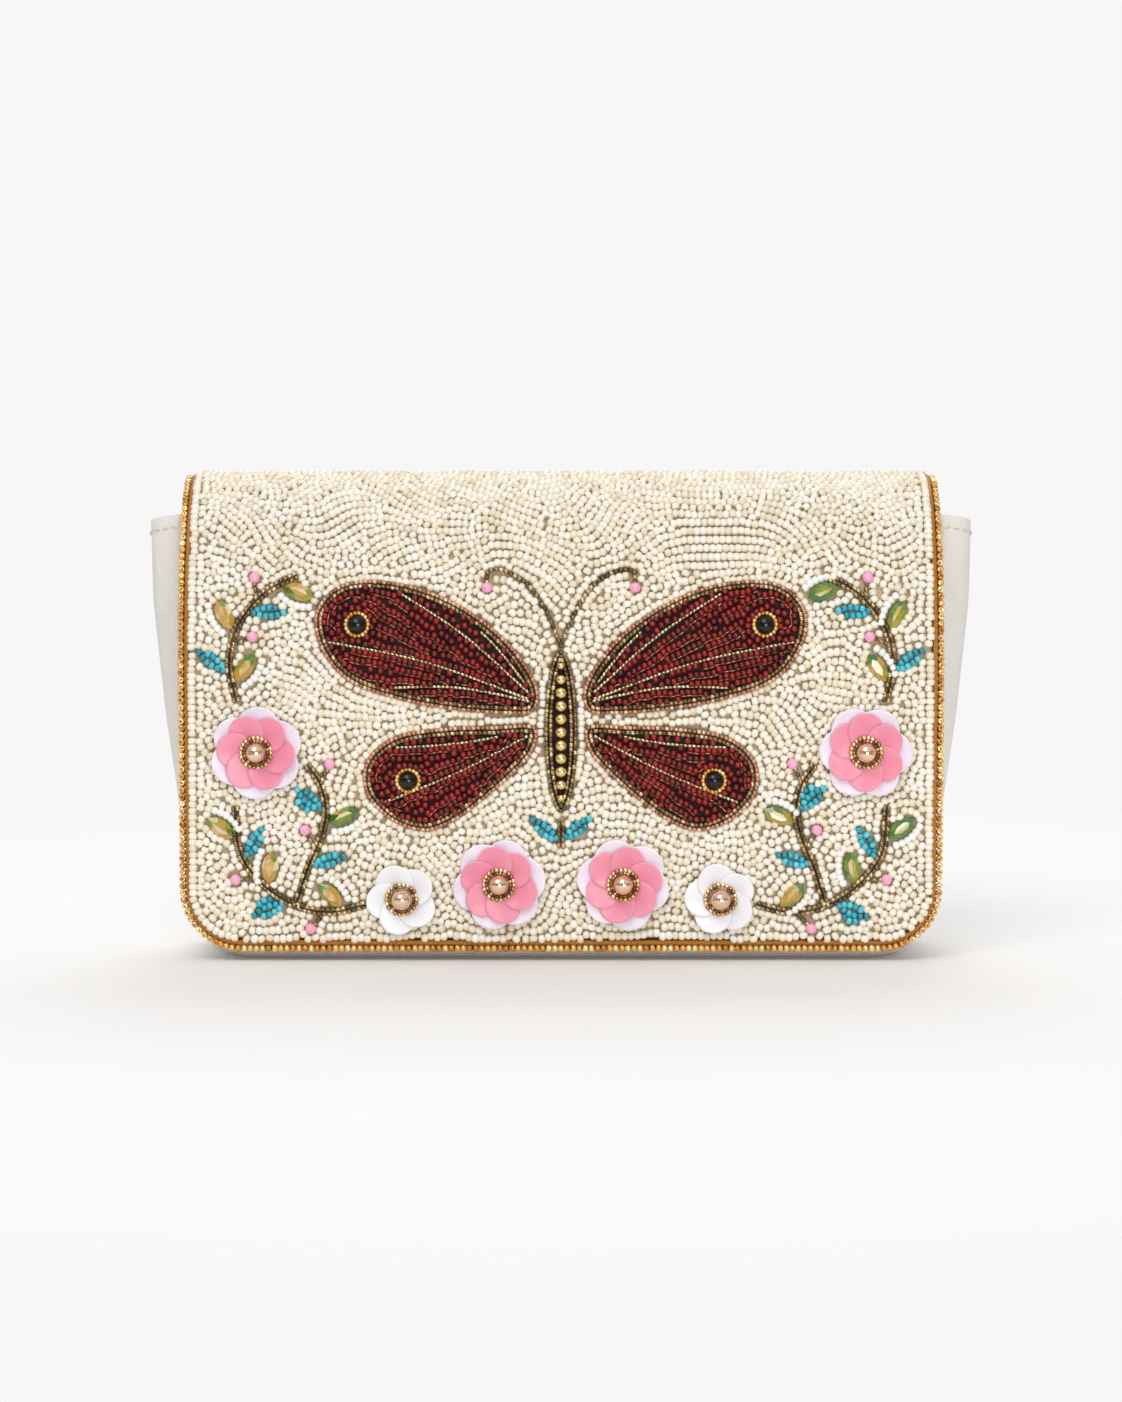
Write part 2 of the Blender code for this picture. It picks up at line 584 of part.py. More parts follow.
def build_bead_field(flap):
    """The beaded cloth: wavy ridges for the sewn rows, over a plain back."""
    count = 2 * FIELD_ROWS
    levels = [CLOTH_BOTTOM + (FLAP_RUN - CLOTH_BOTTOM) * k / count for k in range(count + 1)]
    corner = CLOTH_CORNER_RADIUS

    def half_width(s):
        drop = max(0.0, corner - (s - CLOTH_BOTTOM))
        return CLOTH_HALF_WIDTH - corner + math.sqrt(max(corner ** 2 - drop ** 2, 0.0))

    bm = bmesh.new()
    front, back = [], []
    for k, s in enumerate(levels):
        half = half_width(s)
        n = FIELD_PEAK if k % 2 else FIELD_VALLEY
        fade = math.sin(math.pi * k / count)
        row = []
        for j in range(FIELD_SPANS + 1):
            u = half * (2 * j / FIELD_SPANS - 1)
            edge = 1 - (u / half) ** 8
            wave = FIELD_WAVE_HEIGHT * fade * edge * math.sin(2 * math.pi * u / FIELD_WAVE_LENGTH)
            row.append(bm.verts.new(on_front(u, s + wave, n)))
        front.append(row)
        back.append([bm.verts.new(on_front(side * half, s, -CLOTH_THICKNESS)) for side in (-1, 1)])
    for k in range(count):
        for j in range(FIELD_SPANS):
            bm.faces.new((front[k][j], front[k][j + 1], front[k + 1][j + 1], front[k + 1][j]))
        bm.faces.new((back[k][0], back[k + 1][0], back[k + 1][1], back[k][1]))
        bm.faces.new((front[k][0], front[k + 1][0], back[k + 1][0], back[k][0]))
        bm.faces.new((front[k][-1], back[k][1], back[k + 1][1], front[k + 1][-1]))
    bm.faces.new([*front[0], back[0][1], back[0][0]])
    bm.faces.new([*reversed(front[-1]), back[-1][0], back[-1][1]])
    add_object("bead_field", bm, IVORY, parent=flap)


def edge_path(inset_distance, levels):
    """The line round the flap's sides and bottom, that far inside its outer edge."""
    return u_path(FLAP_WIDTH / 2 - inset_distance, FLAP_BOTTOM + inset_distance, FLAP_RUN,
                  FLAP_CORNER_RADIUS - inset_distance, levels)


def build_edging(flap):
    """The amber binding that wraps the flap's raw edge, and the gold beads sewn along it."""
    levels = shoulder_levels(FLAP_RUN)
    middle = EDGE_BEAD_DIAMETER + GAP + BINDING_WIDTH / 2
    half = BINDING_WIDTH / 2
    band = [(-half, FLAP_INNER_FACE), (half, FLAP_INNER_FACE), (half, BINDING_RISE), (-half, BINDING_RISE)]
    add_object("edge_binding", sweep(edge_path(middle, levels), lambda i: band, on_front), AMBER, parent=flap)
    radius = EDGE_BEAD_DIAMETER / 2
    cord = edge_path(radius, levels)
    rings = bead_rings(cord, radius)
    row = sweep([spot for spot, _ in rings], lambda i: round_section(rings[i][1], 0.0, STEM_SIDES), on_front)
    add_object("edge_beads", row, GOLD, parent=flap, smooth_angle=60)


def bead_rings(path, radius):
    """Rings along a path, full at each bead group's middle and narrow between the groups."""
    points = np.array(path)
    runs = np.concatenate([[0.0], np.cumsum(np.linalg.norm(np.diff(points[:, :2], axis=0), axis=1))])
    count = 2 * max(2, round(runs[-1] / EDGE_BEAD_PITCH))
    rings = []
    for k in range(count + 1):
        at = runs[-1] * k / count
        u, s, side_u, side_s = (float(np.interp(at, runs, points[:, column])) for column in range(4))
        length = math.hypot(side_u, side_s)
        rings.append(((u, s, side_u / length, side_s / length), radius if k % 2 else EDGE_BEAD_WAIST * radius))
    return rings


def build_crease():
    """The leather roll along the top of the back, on which the flap swings."""
    length = 2 * (CLOTH_HALF_WIDTH - CREASE_MARGIN)
    bm = bmesh.new()
    bmesh.ops.create_cone(bm, cap_ends=True, segments=ROUND_SEGMENTS, radius1=CREASE_RADIUS,
                          radius2=CREASE_RADIUS, depth=length)
    for vert in bm.verts:
        x, y, z = vert.co
        vert.co = Vector((z, CREASE_Y + x, CREASE_Z + y))
    add_object("crease_roll", bm, LEATHER, smooth_angle=50)


def petal_layer(u, s, petals, radius, base, rise):
    """A cupped layer of round sequins, as one washer with a lobe for each petal."""
    lobes = [PETAL_VALLEY, 1.0, 1.0]
    steps = len(lobes)
    count = petals * steps
    path = []
    for k in range(count):
        angle = 2 * math.pi * k / count + PETAL_TURN
        path.append((u, s, math.cos(angle), math.sin(angle)))

    def section(k):
        reach = radius * lobes[k % steps]
        tip = base + rise * (PETAL_VALLEY_RISE if k % steps == 0 else 1.0)
        return [(PETAL_HOLE_RADIUS, base), (reach, tip), (reach, tip + PETAL_THICKNESS),
                (PETAL_HOLE_RADIUS, base + PETAL_THICKNESS)]

    return sweep(path, section, on_front, closed=True)


def flower_centre(flap, name, u, s, seat):
    """The ring of gold beads on the petals and the pearl that stands through them."""
    ring_n = seat + UNDER_PETAL_RISE / 4 + GAP + RING_BEAD_RADIUS
    turns = [2 * math.pi * k / RING_STEPS for k in range(RING_STEPS)]
    path = [(u, s, math.cos(turn), math.sin(turn)) for turn in turns]
    ring = round_section(RING_BEAD_RADIUS, ring_n, STEM_SIDES, across=RING_RADIUS)
    add_object(name + "_bead_ring", sweep(path, lambda i: ring, on_front, closed=True), GOLD, parent=flap,
               smooth_angle=60)
    pearl = ball_profile(PEARL_RADIUS, MOTIF_BASE + PEARL_RADIUS, PEARL_BANDS)
    ball = turned(pearl, PEARL_SEGMENTS, u, s, on_front)
    add_object(name + "_pearl", ball, PEARL, parent=flap, smooth_angle=60)


def build_pink_flower(flap, name, u, s):
    """Two layers of sequins: frosted ones below, and smaller pink ones above."""
    inner_base = MOTIF_BASE + PETAL_THICKNESS + GAP
    under = petal_layer(u, s, PINK_PETAL_COUNT, UNDER_PETAL_RADIUS, MOTIF_BASE, UNDER_PETAL_RISE)
    add_object(name + "_under_petals", under, LILAC, parent=flap)
    inner = petal_layer(u, s, PINK_PETAL_COUNT, INNER_PETAL_RADIUS, inner_base, INNER_PETAL_RISE)
    add_object(name + "_petals", inner, PINK, parent=flap)
    flower_centre(flap, name, u, s, inner_base + PETAL_THICKNESS)


def build_white_flower(flap, name, u, s):
    petals = petal_layer(u, s, WHITE_PETAL_COUNT, WHITE_PETAL_RADIUS, MOTIF_BASE, UNDER_PETAL_RISE)
    add_object(name + "_petals", petals, WHITE, parent=flap)
    flower_centre(flap, name, u, s, MOTIF_BASE + PETAL_THICKNESS)


def build_flowers(flap):
    upper = FLAP_WIDTH / 2 - UPPER_PINK_FLOWER_IN
    for hand, side in HANDS.items():
        build_pink_flower(flap, "pink_flower_lower_" + hand, side * LOWER_PINK_FLOWER[0], LOWER_PINK_FLOWER[1])
        build_pink_flower(flap, "pink_flower_upper_" + hand, side * upper, UPPER_PINK_FLOWER_RUN)
        build_white_flower(flap, "white_flower_" + hand, side * WHITE_FLOWER[0], WHITE_FLOWER[1])


def mirrored(points, side):
    """The same points on the right (side 1) or the left (side -1)."""
    return [(side * u, s) for u, s in points]


def from_edge(points):
    """Points given as distances in from the flap's side edge, as (u, s) on the right."""
    return [(FLAP_WIDTH / 2 - inward, s) for inward, s in points]


def band_section(width):
    """Section of a raised band of bead rows: wide at the cloth, and crowned."""
    half, crown = width / 2, OUTLINE_CROWN * width / 2
    high = MOTIF_BASE + OUTLINE_THICKNESS
    return [(-half, MOTIF_BASE), (half, MOTIF_BASE), (crown, high), (-crown, high)]


def build_wing(flap, name, points, side):
    """A field of burgundy beads with a raised bronze outline round it."""
    outline = smooth_loop(mirrored(points, side))
    ring = with_normals(inset(outline, OUTLINE_WIDTH / 2), True)
    section = band_section(OUTLINE_WIDTH)
    add_object(name + "_outline", sweep(ring, lambda i: section, on_front, closed=True), BRONZE, parent=flap)
    field = inset(outline, OUTLINE_WIDTH + GAP)
    top = max(s for _, s in field)
    sheet = plate(field, shoulder_levels(top), MOTIF_BASE, MOTIF_BASE + MOTIF_THICKNESS, on_front)
    add_object(name, sheet, BURGUNDY, parent=flap)


def build_butterfly(flap):
    """The figure: four wings with a spot on each, the antennae and the body."""
    for hand, side in HANDS.items():
        build_wing(flap, "upper_wing_" + hand, UPPER_WING, side)
        build_wing(flap, "lower_wing_" + hand, LOWER_WING, side)
        for place, (u, s) in SPOTS.items():
            seat = MOTIF_BASE + MOTIF_THICKNESS + GAP
            shoulder = (SPOT_SHOULDER[0] * SPOT_RADIUS, seat + SPOT_SHOULDER[1] * SPOT_HEIGHT)
            profile = [(0.0, seat), (SPOT_RADIUS, seat), shoulder, (0.0, seat + SPOT_HEIGHT)]
            dome = turned(profile, SPOT_SEGMENTS, side * u, s, on_front)
            add_object(f"{place}_spot_{hand}", dome, BLACK, parent=flap)
    antennae = [*reversed(mirrored(ANTENNA_ROUTE, -1)), *ANTENNA_ROUTE[1:]]
    section = round_section(ANTENNA_RADIUS, MOTIF_BASE + ANTENNA_RADIUS, STEM_SIDES)
    route = with_normals(smooth_run(antennae, 2), False)
    add_object("antennae", sweep(route, lambda i: section, on_front), BRONZE, parent=flap)
    build_body(flap)


def build_body(flap):
    """The butterfly's body: a spindle of bronze rows round a string of gold pearls."""
    middle, half = (BODY_BOTTOM + BODY_TOP) / 2, (BODY_TOP - BODY_BOTTOM) / 2
    turns = [2 * math.pi * k / BODY_STEPS for k in range(BODY_STEPS)]
    spindle = [(BODY_HALF_WIDTH * math.sin(turn), middle + half * math.cos(turn)) for turn in turns]
    ring = with_normals(inset(spindle, BODY_BAND_WIDTH / 2), True)
    section = band_section(BODY_BAND_WIDTH)
    add_object("body_band", sweep(ring, lambda i: section, on_front, closed=True), BRONZE, parent=flap)
    bottom, top = BODY_BOTTOM + BODY_BAND_WIDTH + GAP, BODY_TOP - BODY_BAND_WIDTH - GAP
    pitch = (top - bottom) / BODY_PEARL_COUNT
    centre_n = MOTIF_BASE + BODY_PEARL_RADIUS
    path, radii = [], []
    for k in range(2 * BODY_PEARL_COUNT + 1):
        path.append((0.0, bottom + pitch * k / 2, 1.0, 0.0))
        room = BODY_END_SHARE if min(k, 2 * BODY_PEARL_COUNT - k) < 2 else 1.0
        radii.append(BODY_PEARL_RADIUS * room * (1.0 if k % 2 else BODY_PEARL_WAIST))
    string = sweep(path, lambda i: round_section(radii[i], centre_n, STRING_SIDES), on_front)
    add_object("body_pearls", string, GOLD_PEARL, parent=flap, smooth_angle=70)


def leaf_bm(path, place, turn, lift):
    """A leaf: a lozenge with a ridged top, whose inner tip lies on the stem's middle line."""
    spans = np.array([[p[0], p[1]] for p in path])
    runs = np.concatenate([[0.0], np.cumsum(np.linalg.norm(np.diff(spans, axis=0), axis=1))])
    at = place * runs[-1]
    u, s = (float(np.interp(at, runs, spans[:, column])) for column in range(2))
    ahead_u, ahead_s = (float(np.interp(at + STEM_RADIUS, runs, spans[:, column])) for column in range(2))
    angle = math.atan2(ahead_s - s, ahead_u - u) + math.radians(turn)
    along_u, along_s = math.cos(angle), math.sin(angle)

    def spot(along, across):
        return u + along * along_u - across * along_s, s + along * along_s + across * along_u

    middle = LEAF_LENGTH / 2
    rim = [spot(LEAF_LENGTH, 0), spot(middle, LEAF_WIDTH / 2), spot(0, 0), spot(middle, -LEAF_WIDTH / 2)]
    low = MOTIF_BASE + lift
    bm = bmesh.new()
    bottom = [bm.verts.new(on_front(*p, low)) for p in rim]
    brim = [bm.verts.new(on_front(*p, low + LEAF_HEIGHT / 2)) for p in rim]
    top = bm.verts.new(on_front(*spot(middle, 0), low + LEAF_HEIGHT))
    bm.faces.new(bottom)
    for k in range(4):
        j = (k + 1) % 4
        bm.faces.new((bottom[k], bottom[j], brim[j], brim[k]))
        bm.faces.new((brim[k], brim[j], top))
    return bm


def stem_path(route, side):
    return with_normals(smooth_run(mirrored(route, side), 2), False)


def stem_bm(path, lift):
    section = round_section(STEM_RADIUS, MOTIF_BASE + STEM_RADIUS + lift, STEM_SIDES)
    return sweep(path, lambda i: section, on_front)


def leaf_shapes(path, leaves, side):
    """The leaves of one stem, alternately lifted a little so that no two share a plane."""
    return [leaf_bm(path, place, side * turn, STEM_LIFT * (k % 2)) for k, (place, turn) in enumerate(leaves)]


def build_vine(flap, name, route, leaves, side, branch=None, branch_leaves=()):
    """A stem of bronze beads with its leaves and its branch sewn against it, as one body."""
    path = stem_path(route, side)
    stem = add_object(name, stem_bm(path, STEM_LIFT), LEAF, parent=flap)
    shapes = leaf_shapes(path, leaves, side)
    if branch:
        twig = stem_path(branch, side)
        shapes += [stem_bm(twig, 2 * STEM_LIFT), *leaf_shapes(twig, branch_leaves, side)]
    joined = bpy.data.collections.new(name + "_leaves")
    bpy.context.scene.collection.children.link(joined)
    for k, shape in enumerate(shapes):
        piece = add_object(f"{name}_leaf_{k}", shape, LEAF, parent=flap)
        piece.hide_render = True
        piece.display_type = "WIRE"
        bpy.context.scene.collection.objects.unlink(piece)
        joined.objects.link(piece)
    modifier = stem.modifiers.new("leaves", "BOOLEAN")
    modifier.operation = "UNION"
    modifier.operand_type = "COLLECTION"
    modifier.collection = joined


def build_vines(flap):
    for hand, side in HANDS.items():
        branch = from_edge(SIDE_BRANCH)
        build_vine(flap, "lower_vine_" + hand, from_edge(LOWER_VINE), LOWER_LEAVES, side, branch, SIDE_LEAVES)
        build_vine(flap, "upper_vine_" + hand, from_edge(UPPER_VINE), UPPER_LEAVES, side)
    build_vine(flap, "centre_sprig", [(0.0, s) for s in CENTRE_STEM_RUN], CENTRE_LEAVES, 1)


def main():
    clear_scene()
    flap = bpy.data.objects.new("flap_pivot", None)
    flap.location = (0.0, CREASE_Y, CREASE_Z)
    bpy.context.scene.collection.objects.link(flap)
    build_panels()
    build_gusset()
    build_lining()
    build_base_board()
    build_crease()
    build_flap_sheets(flap)
    build_bead_field(flap)
    build_edging(flap)
    build_snap(flap)
    build_flowers(flap)
    build_butterfly(flap)
    build_vines(flap)


main()
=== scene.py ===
"""Beaded flap clutch bag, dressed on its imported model.

Metres, +Z up, front towards -Y. A place on the flap is (u, s, n): u across, s the run up the
front from the table, and n the height off the face of the flap's cloth.
"""
import logging
import math
from collections import deque
from dataclasses import dataclass, field
from enum import Enum
from typing import Any, Callable, Iterable, Optional, Sequence

import bmesh
import bpy
import numpy as np
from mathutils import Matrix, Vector, kdtree


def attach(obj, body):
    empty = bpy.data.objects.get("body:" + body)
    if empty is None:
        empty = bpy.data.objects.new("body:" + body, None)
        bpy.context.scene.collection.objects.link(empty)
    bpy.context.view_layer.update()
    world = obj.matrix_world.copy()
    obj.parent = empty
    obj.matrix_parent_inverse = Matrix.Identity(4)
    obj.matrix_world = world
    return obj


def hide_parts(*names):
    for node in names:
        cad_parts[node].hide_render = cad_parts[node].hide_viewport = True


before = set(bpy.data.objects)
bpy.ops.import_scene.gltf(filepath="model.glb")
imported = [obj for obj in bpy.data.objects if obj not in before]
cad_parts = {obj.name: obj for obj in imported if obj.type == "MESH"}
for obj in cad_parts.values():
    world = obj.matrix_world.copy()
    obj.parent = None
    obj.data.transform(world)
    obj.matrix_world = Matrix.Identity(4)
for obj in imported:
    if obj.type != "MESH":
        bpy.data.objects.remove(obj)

LOG = logging.getLogger("clutch_bag")
MM = 0.001
GAP = 0.0003
HANDS = {"left": -1, "right": 1}
Piece = bpy.types.Object
Tree = bpy.types.NodeTree
Points = np.ndarray
Place = tuple[float, float]
Route = Sequence[Place]
Stops = tuple[tuple[float, str], ...]


# Colours and nodes

def linear(code: str) -> tuple[float, float, float, float]:
    """The linear colour of an sRGB hex value.

    Args:
        code: Six hex digits after a hash sign.

    Returns:
        Red, green, blue and an alpha of 1.
    """
    parts = [int(code[k:k + 2], 16) / 255 for k in (1, 3, 5)]
    red, green, blue = (p / 12.92 if p <= 0.04045 else ((p + 0.055) / 1.055) ** 2.4 for p in parts)
    return red, green, blue, 1.0


def feed(tree: Tree, node: bpy.types.Node, feeds: dict) -> None:
    """Sets and links a node's inputs.

    Args:
        tree: The node's tree.
        node: The node.
        feeds: Input name or number, with a value, a hex colour, or the socket or node that feeds it.
    """
    for key, value in feeds.items():
        if isinstance(value, bpy.types.Node):
            value = next(socket for socket in value.outputs if socket.enabled)
        if isinstance(value, bpy.types.NodeSocket):
            tree.links.new(value, node.inputs[key])
        else:
            coloured = isinstance(value, str) and value.startswith("#")
            node.inputs[key].default_value = linear(value) if coloured else value


def add_node(tree: Tree, kind: str, feeds: Optional[dict] = None, stops: Stops = (), **settings: Any) -> bpy.types.Node:
    """Adds a node with its settings, values and links.

    Args:
        tree: The tree that gets the node.
        kind: The node's type name.
        feeds: What feed() takes.
        stops: A ramp's places from 0 to 1, each with its hex colour.
        **settings: Properties of the node.

    Returns:
        The new node.
    """
    made = tree.nodes.new(kind)
    for name, value in settings.items():
        setattr(made, name, value)
    feed(tree, made, feeds or {})
    if stops:
        elements = made.color_ramp.elements
        while len(elements) < len(stops):
            elements.new(0.5)
        for element, (place, code) in zip(elements, stops):
            element.position = place
            element.color = linear(code)
    return made


@dataclass(frozen=True)
class Finish:
    """What every finish shares: its name and the shader's plain values."""

    name: str
    roughness: float = 0.5
    metallic: float = 0.0
    ior: float = 1.5
    coat: float = 0.0
    coat_roughness: float = 0.05
    sheen: float = 0.0
    transmission: float = 0.0

    def start(self) -> tuple[bpy.types.Material, Tree, bpy.types.Node, bpy.types.NodeSocket]:
        """Makes the material with its shader's constant values.

        Returns:
            The material, its tree, its Principled shader and the place on the piece.
        """
        made = bpy.data.materials.new(self.name)
        made.use_nodes = True
        tree = made.node_tree
        shader = tree.nodes["Principled BSDF"]
        feed(tree, shader, {"Roughness": self.roughness, "Metallic": self.metallic, "Coat Weight": self.coat,
                            "Coat Roughness": self.coat_roughness, "Sheen Weight": self.sheen,
                            "Transmission Weight": self.transmission})
        if self.metallic < 1.0:
            feed(tree, shader, {"IOR": self.ior})
        return made, tree, shader, add_node(tree, "ShaderNodeTexCoord").outputs["Object"]

    def material(self) -> bpy.types.Material:
        """The finish as a material, made once and shared by its pieces."""
        return bpy.data.materials.get(self.name) or self.make()

    def make(self) -> bpy.types.Material:
        """Builds the finish's own nodes."""
        raise NotImplementedError


@dataclass(frozen=True)
class BeadGlass(Finish):
    """Drawn glass seed beads: each bead has its own tone, and painted shade darkens the ends round its hole."""

    stops: Stops = ((0.0, "#FFFFFF"), (1.0, "#DDDDDD"))
    # Painted shade at the holes: each bead's ends darken towards this colour
    hole: str = "#5A4630"
    mottle: float = 0.12

    def make(self) -> bpy.types.Material:
        """Tone by bead, a faint cloudiness in the glass, and painted shade at the holes.

        Returns:
            The material.
        """
        made, tree, shader, where = self.start()
        tint, hole = (add_node(tree, "ShaderNodeAttribute", attribute_name=name).outputs["Fac"]
                      for name in ("tint", "hole"))
        # Cloudiness about as wide as half a bead
        cloud = add_node(tree, "ShaderNodeTexNoise", {"Vector": where, "Scale": 900.0, "Detail": 2.0})
        shift = add_node(tree, "ShaderNodeMapRange", {"Value": cloud, "From Min": 0.25, "From Max": 0.75,
                                                      "To Min": -self.mottle, "To Max": self.mottle})
        mixed = add_node(tree, "ShaderNodeMath", {0: tint, 1: shift}, operation="ADD", use_clamp=True)
        body = add_node(tree, "ShaderNodeValToRGB", {"Fac": mixed}, self.stops)
        # Painted shade: the ends round each hole darken towards the hole colour
        colour = add_node(tree, "ShaderNodeMix", {0: hole, 6: body, 7: self.hole}, data_type="RGBA")
        feed(tree, shader, {"Base Color": colour})
        return made


@dataclass(frozen=True)
class Leather(Finish):
    """Fine-grained calf, drum-dyed a pale stone: small pebbles, soft creases, a faint shine."""

    light: str = "#F0EBE5"
    dark: str = "#ECE7E1"
    # Painted shade in the grooves between the grain's pebbles
    groove_shade: str = "#B5A99C"
    grain: float = 0.9 * MM

    def make(self) -> bpy.types.Material:
        """Pebble grain and creases as bump, a tone that is darker in the creases' hollows, and painted shade in the
        grooves.

        Returns:
            The material.
        """
        made, tree, shader, where = self.start()
        cells = add_node(tree, "ShaderNodeTexVoronoi", {"Vector": where, "Scale": 1 / self.grain},
                         feature="DISTANCE_TO_EDGE")
        pebble = add_node(tree, "ShaderNodeMapRange", {"Value": cells, "From Max": 0.12})
        fine = add_node(tree, "ShaderNodeTexNoise", {"Vector": where, "Scale": 2600.0, "Detail": 3.0})
        crease = add_node(tree, "ShaderNodeTexNoise",
                          {"Vector": where, "Scale": 70.0, "Detail": 5.0, "Distortion": 0.6})
        shade = add_node(tree, "ShaderNodeMapRange", {"Value": crease, "From Min": 0.35, "From Max": 0.7})
        plain = add_node(tree, "ShaderNodeMix", {0: shade, 6: self.dark, 7: self.light}, data_type="RGBA")
        # Painted shade: the grooves between the pebbles darken towards the groove colour
        groove_shading = add_node(tree, "ShaderNodeMapRange", {"Value": cells, "From Max": 0.08, "To Min": 0.16, "To Max": 0.0})
        colour = add_node(tree, "ShaderNodeMix", {0: groove_shading, 6: plain, 7: self.groove_shade}, data_type="RGBA")
        rough = add_node(tree, "ShaderNodeMapRange", {"Value": crease, "To Min": self.roughness - 0.08,
                                                      "To Max": self.roughness + 0.1})
        below: dict = {}
        for height, strength, depth in ((pebble, 0.35, 0.12 * MM), (fine, 0.3, 0.06 * MM), (crease, 0.45, 0.9 * MM)):
            below = {"Normal": add_node(tree, "ShaderNodeBump", {"Height": height, "Strength": strength,
                                                                 "Distance": depth, **below})}
        feed(tree, shader, {"Base Color": colour, "Roughness": rough, **below})
        return made


@dataclass(frozen=True)
class Weave(Finish):
    """Woven cloth: warp and weft threads cross on the piece's own UV map, given in metres."""

    thread: str = "#FFFFFF"
    # Painted shade between the threads
    gap: str = "#888888"
    pitch: float = 0.4 * MM
    depth: float = 0.08 * MM
    weft: float = 1.0

    def make(self) -> bpy.types.Material:
        """Thread lines each way, with painted shade between the threads, and uneven dye.

        Returns:
            The material.
        """
        made, tree, shader, where = self.start()
        split = add_node(tree, "ShaderNodeSeparateXYZ", {"Vector": add_node(tree, "ShaderNodeUVMap")})
        waves = []
        for axis, stretch in (("X", 1.0), ("Y", self.weft)):
            run = add_node(tree, "ShaderNodeMath", {0: split.outputs[axis], 1: 2 * math.pi / (self.pitch * stretch)},
                           operation="MULTIPLY")
            waves.append(add_node(tree, "ShaderNodeMath", {0: run}, operation="SINE"))
        product = add_node(tree, "ShaderNodeMath", {0: waves[0], 1: waves[1]}, operation="MULTIPLY")
        height = add_node(tree, "ShaderNodeMapRange", {"Value": product, "From Min": -1.0})
        noise = add_node(tree, "ShaderNodeTexNoise", {"Vector": where, "Scale": 260.0, "Detail": 3.0})
        dye = add_node(tree, "ShaderNodeMapRange", {"Value": noise, "To Min": 0.0, "To Max": 0.35})
        blend = add_node(tree, "ShaderNodeMath", {0: height, 1: dye}, operation="SUBTRACT", use_clamp=True)
        # Painted shade: the colour darkens towards the gap colour where the weave is low
        colour = add_node(tree, "ShaderNodeMix", {0: blend, 6: self.gap, 7: self.thread}, data_type="RGBA")
        bump = add_node(tree, "ShaderNodeBump", {"Height": height, "Strength": 0.6, "Distance": self.depth})
        feed(tree, shader, {"Base Color": colour, "Normal": bump})
        return made


@dataclass(frozen=True)
class Grained(Finish):
    """A finish with two shades and a fine bump: pressed board, plated metal, thread or a plain floor."""

    light: str = "#FFFFFF"
    dark: str = "#CCCCCC"
    size: float = 1.0 * MM
    stretch: tuple[float, float, float] = (1.0, 1.0, 1.0)
    relief: float = 0.05 * MM

    def make(self) -> bpy.types.Material:
        """Noise of the given size, drawn out along an axis where the surface was brushed or rolled.

        Returns:
            The material.
        """
        made, tree, shader, where = self.start()
        drawn = add_node(tree, "ShaderNodeMapping", {"Vector": where, "Scale": self.stretch})
        noise = add_node(tree, "ShaderNodeTexNoise", {"Vector": drawn, "Scale": 1 / self.size, "Detail": 4.0})
        colour = add_node(tree, "ShaderNodeMix", {0: noise, 6: self.dark, 7: self.light}, data_type="RGBA")
        bump = add_node(tree, "ShaderNodeBump", {"Height": noise, "Strength": 0.5, "Distance": self.relief})
        feed(tree, shader, {"Base Color": colour, "Normal": bump})
        return made


@dataclass(frozen=True)
class Sequin(Finish):
    """Pressed satin sequin film, thinner at the rim: painted shade darkens it towards the middle, a painted highlight
    runs along the lip, and fine ribs run from the hole outwards.
    """

    # Painted shade: the middle colour; painted highlight: the lip colour along the edge
    middle: str = "#E0E0E0"
    rim: str = "#FFFFFF"
    lip: str = "#FFFFFF"

    def make(self) -> bpy.types.Material:
        """Painted shade from the hole towards the rim and a painted highlight on the lip, carried by the petals' own
        attributes.

        Returns:
            The material.
        """
        made, tree, shader, where = self.start()
        reach, tint = (add_node(tree, "ShaderNodeAttribute", attribute_name=name).outputs["Fac"]
                       for name in ("reach", "tint"))
        # Painted shade in the middle, the film's colour at the rim, and a painted highlight on the lip
        stops = ((0.0, self.middle), (0.75, self.rim), (0.95, self.rim), (1.0, self.lip))
        body = add_node(tree, "ShaderNodeValToRGB", {"Fac": reach}, stops)
        shade = add_node(tree, "ShaderNodeMapRange", {"Value": tint, "To Min": 0.0, "To Max": 0.4})
        colour = add_node(tree, "ShaderNodeMix", {0: shade, 6: body, 7: self.middle}, data_type="RGBA")
        fine = add_node(tree, "ShaderNodeTexNoise", {"Vector": where, "Scale": 700.0, "Detail": 3.0})
        bump = add_node(tree, "ShaderNodeBump", {"Height": fine, "Strength": 0.25, "Distance": 0.12 * MM})
        feed(tree, shader, {"Base Color": colour, "Normal": bump})
        return made


@dataclass(frozen=True)
class Pearl(Finish):
    """Glass pearl in pearl lacquer, with painted shade that darkens it towards the edge."""

    face: str = "#F2C9A8"
    # Painted shade at the pearl's edge
    edge: str = "#A9603A"

    def make(self) -> bpy.types.Material:
        """Painted shade that deepens the lacquer's colour where it is seen at a slant, and a faint unevenness.

        Returns:
            The material.
        """
        made, tree, shader, where = self.start()
        rim_shade = add_node(tree, "ShaderNodeLayerWeight", {"Blend": 0.35}).outputs["Facing"]
        # Painted shade: the colour turns to the edge colour where the pearl is seen at a slant
        colour = add_node(tree, "ShaderNodeMix", {0: rim_shade, 6: self.face, 7: self.edge}, data_type="RGBA")
        noise = add_node(tree, "ShaderNodeTexNoise", {"Vector": where, "Scale": 500.0})
        bump = add_node(tree, "ShaderNodeBump", {"Height": noise, "Strength": 0.1, "Distance": 0.05 * MM})
        feed(tree, shader, {"Base Color": colour, "Normal": bump})
        return made


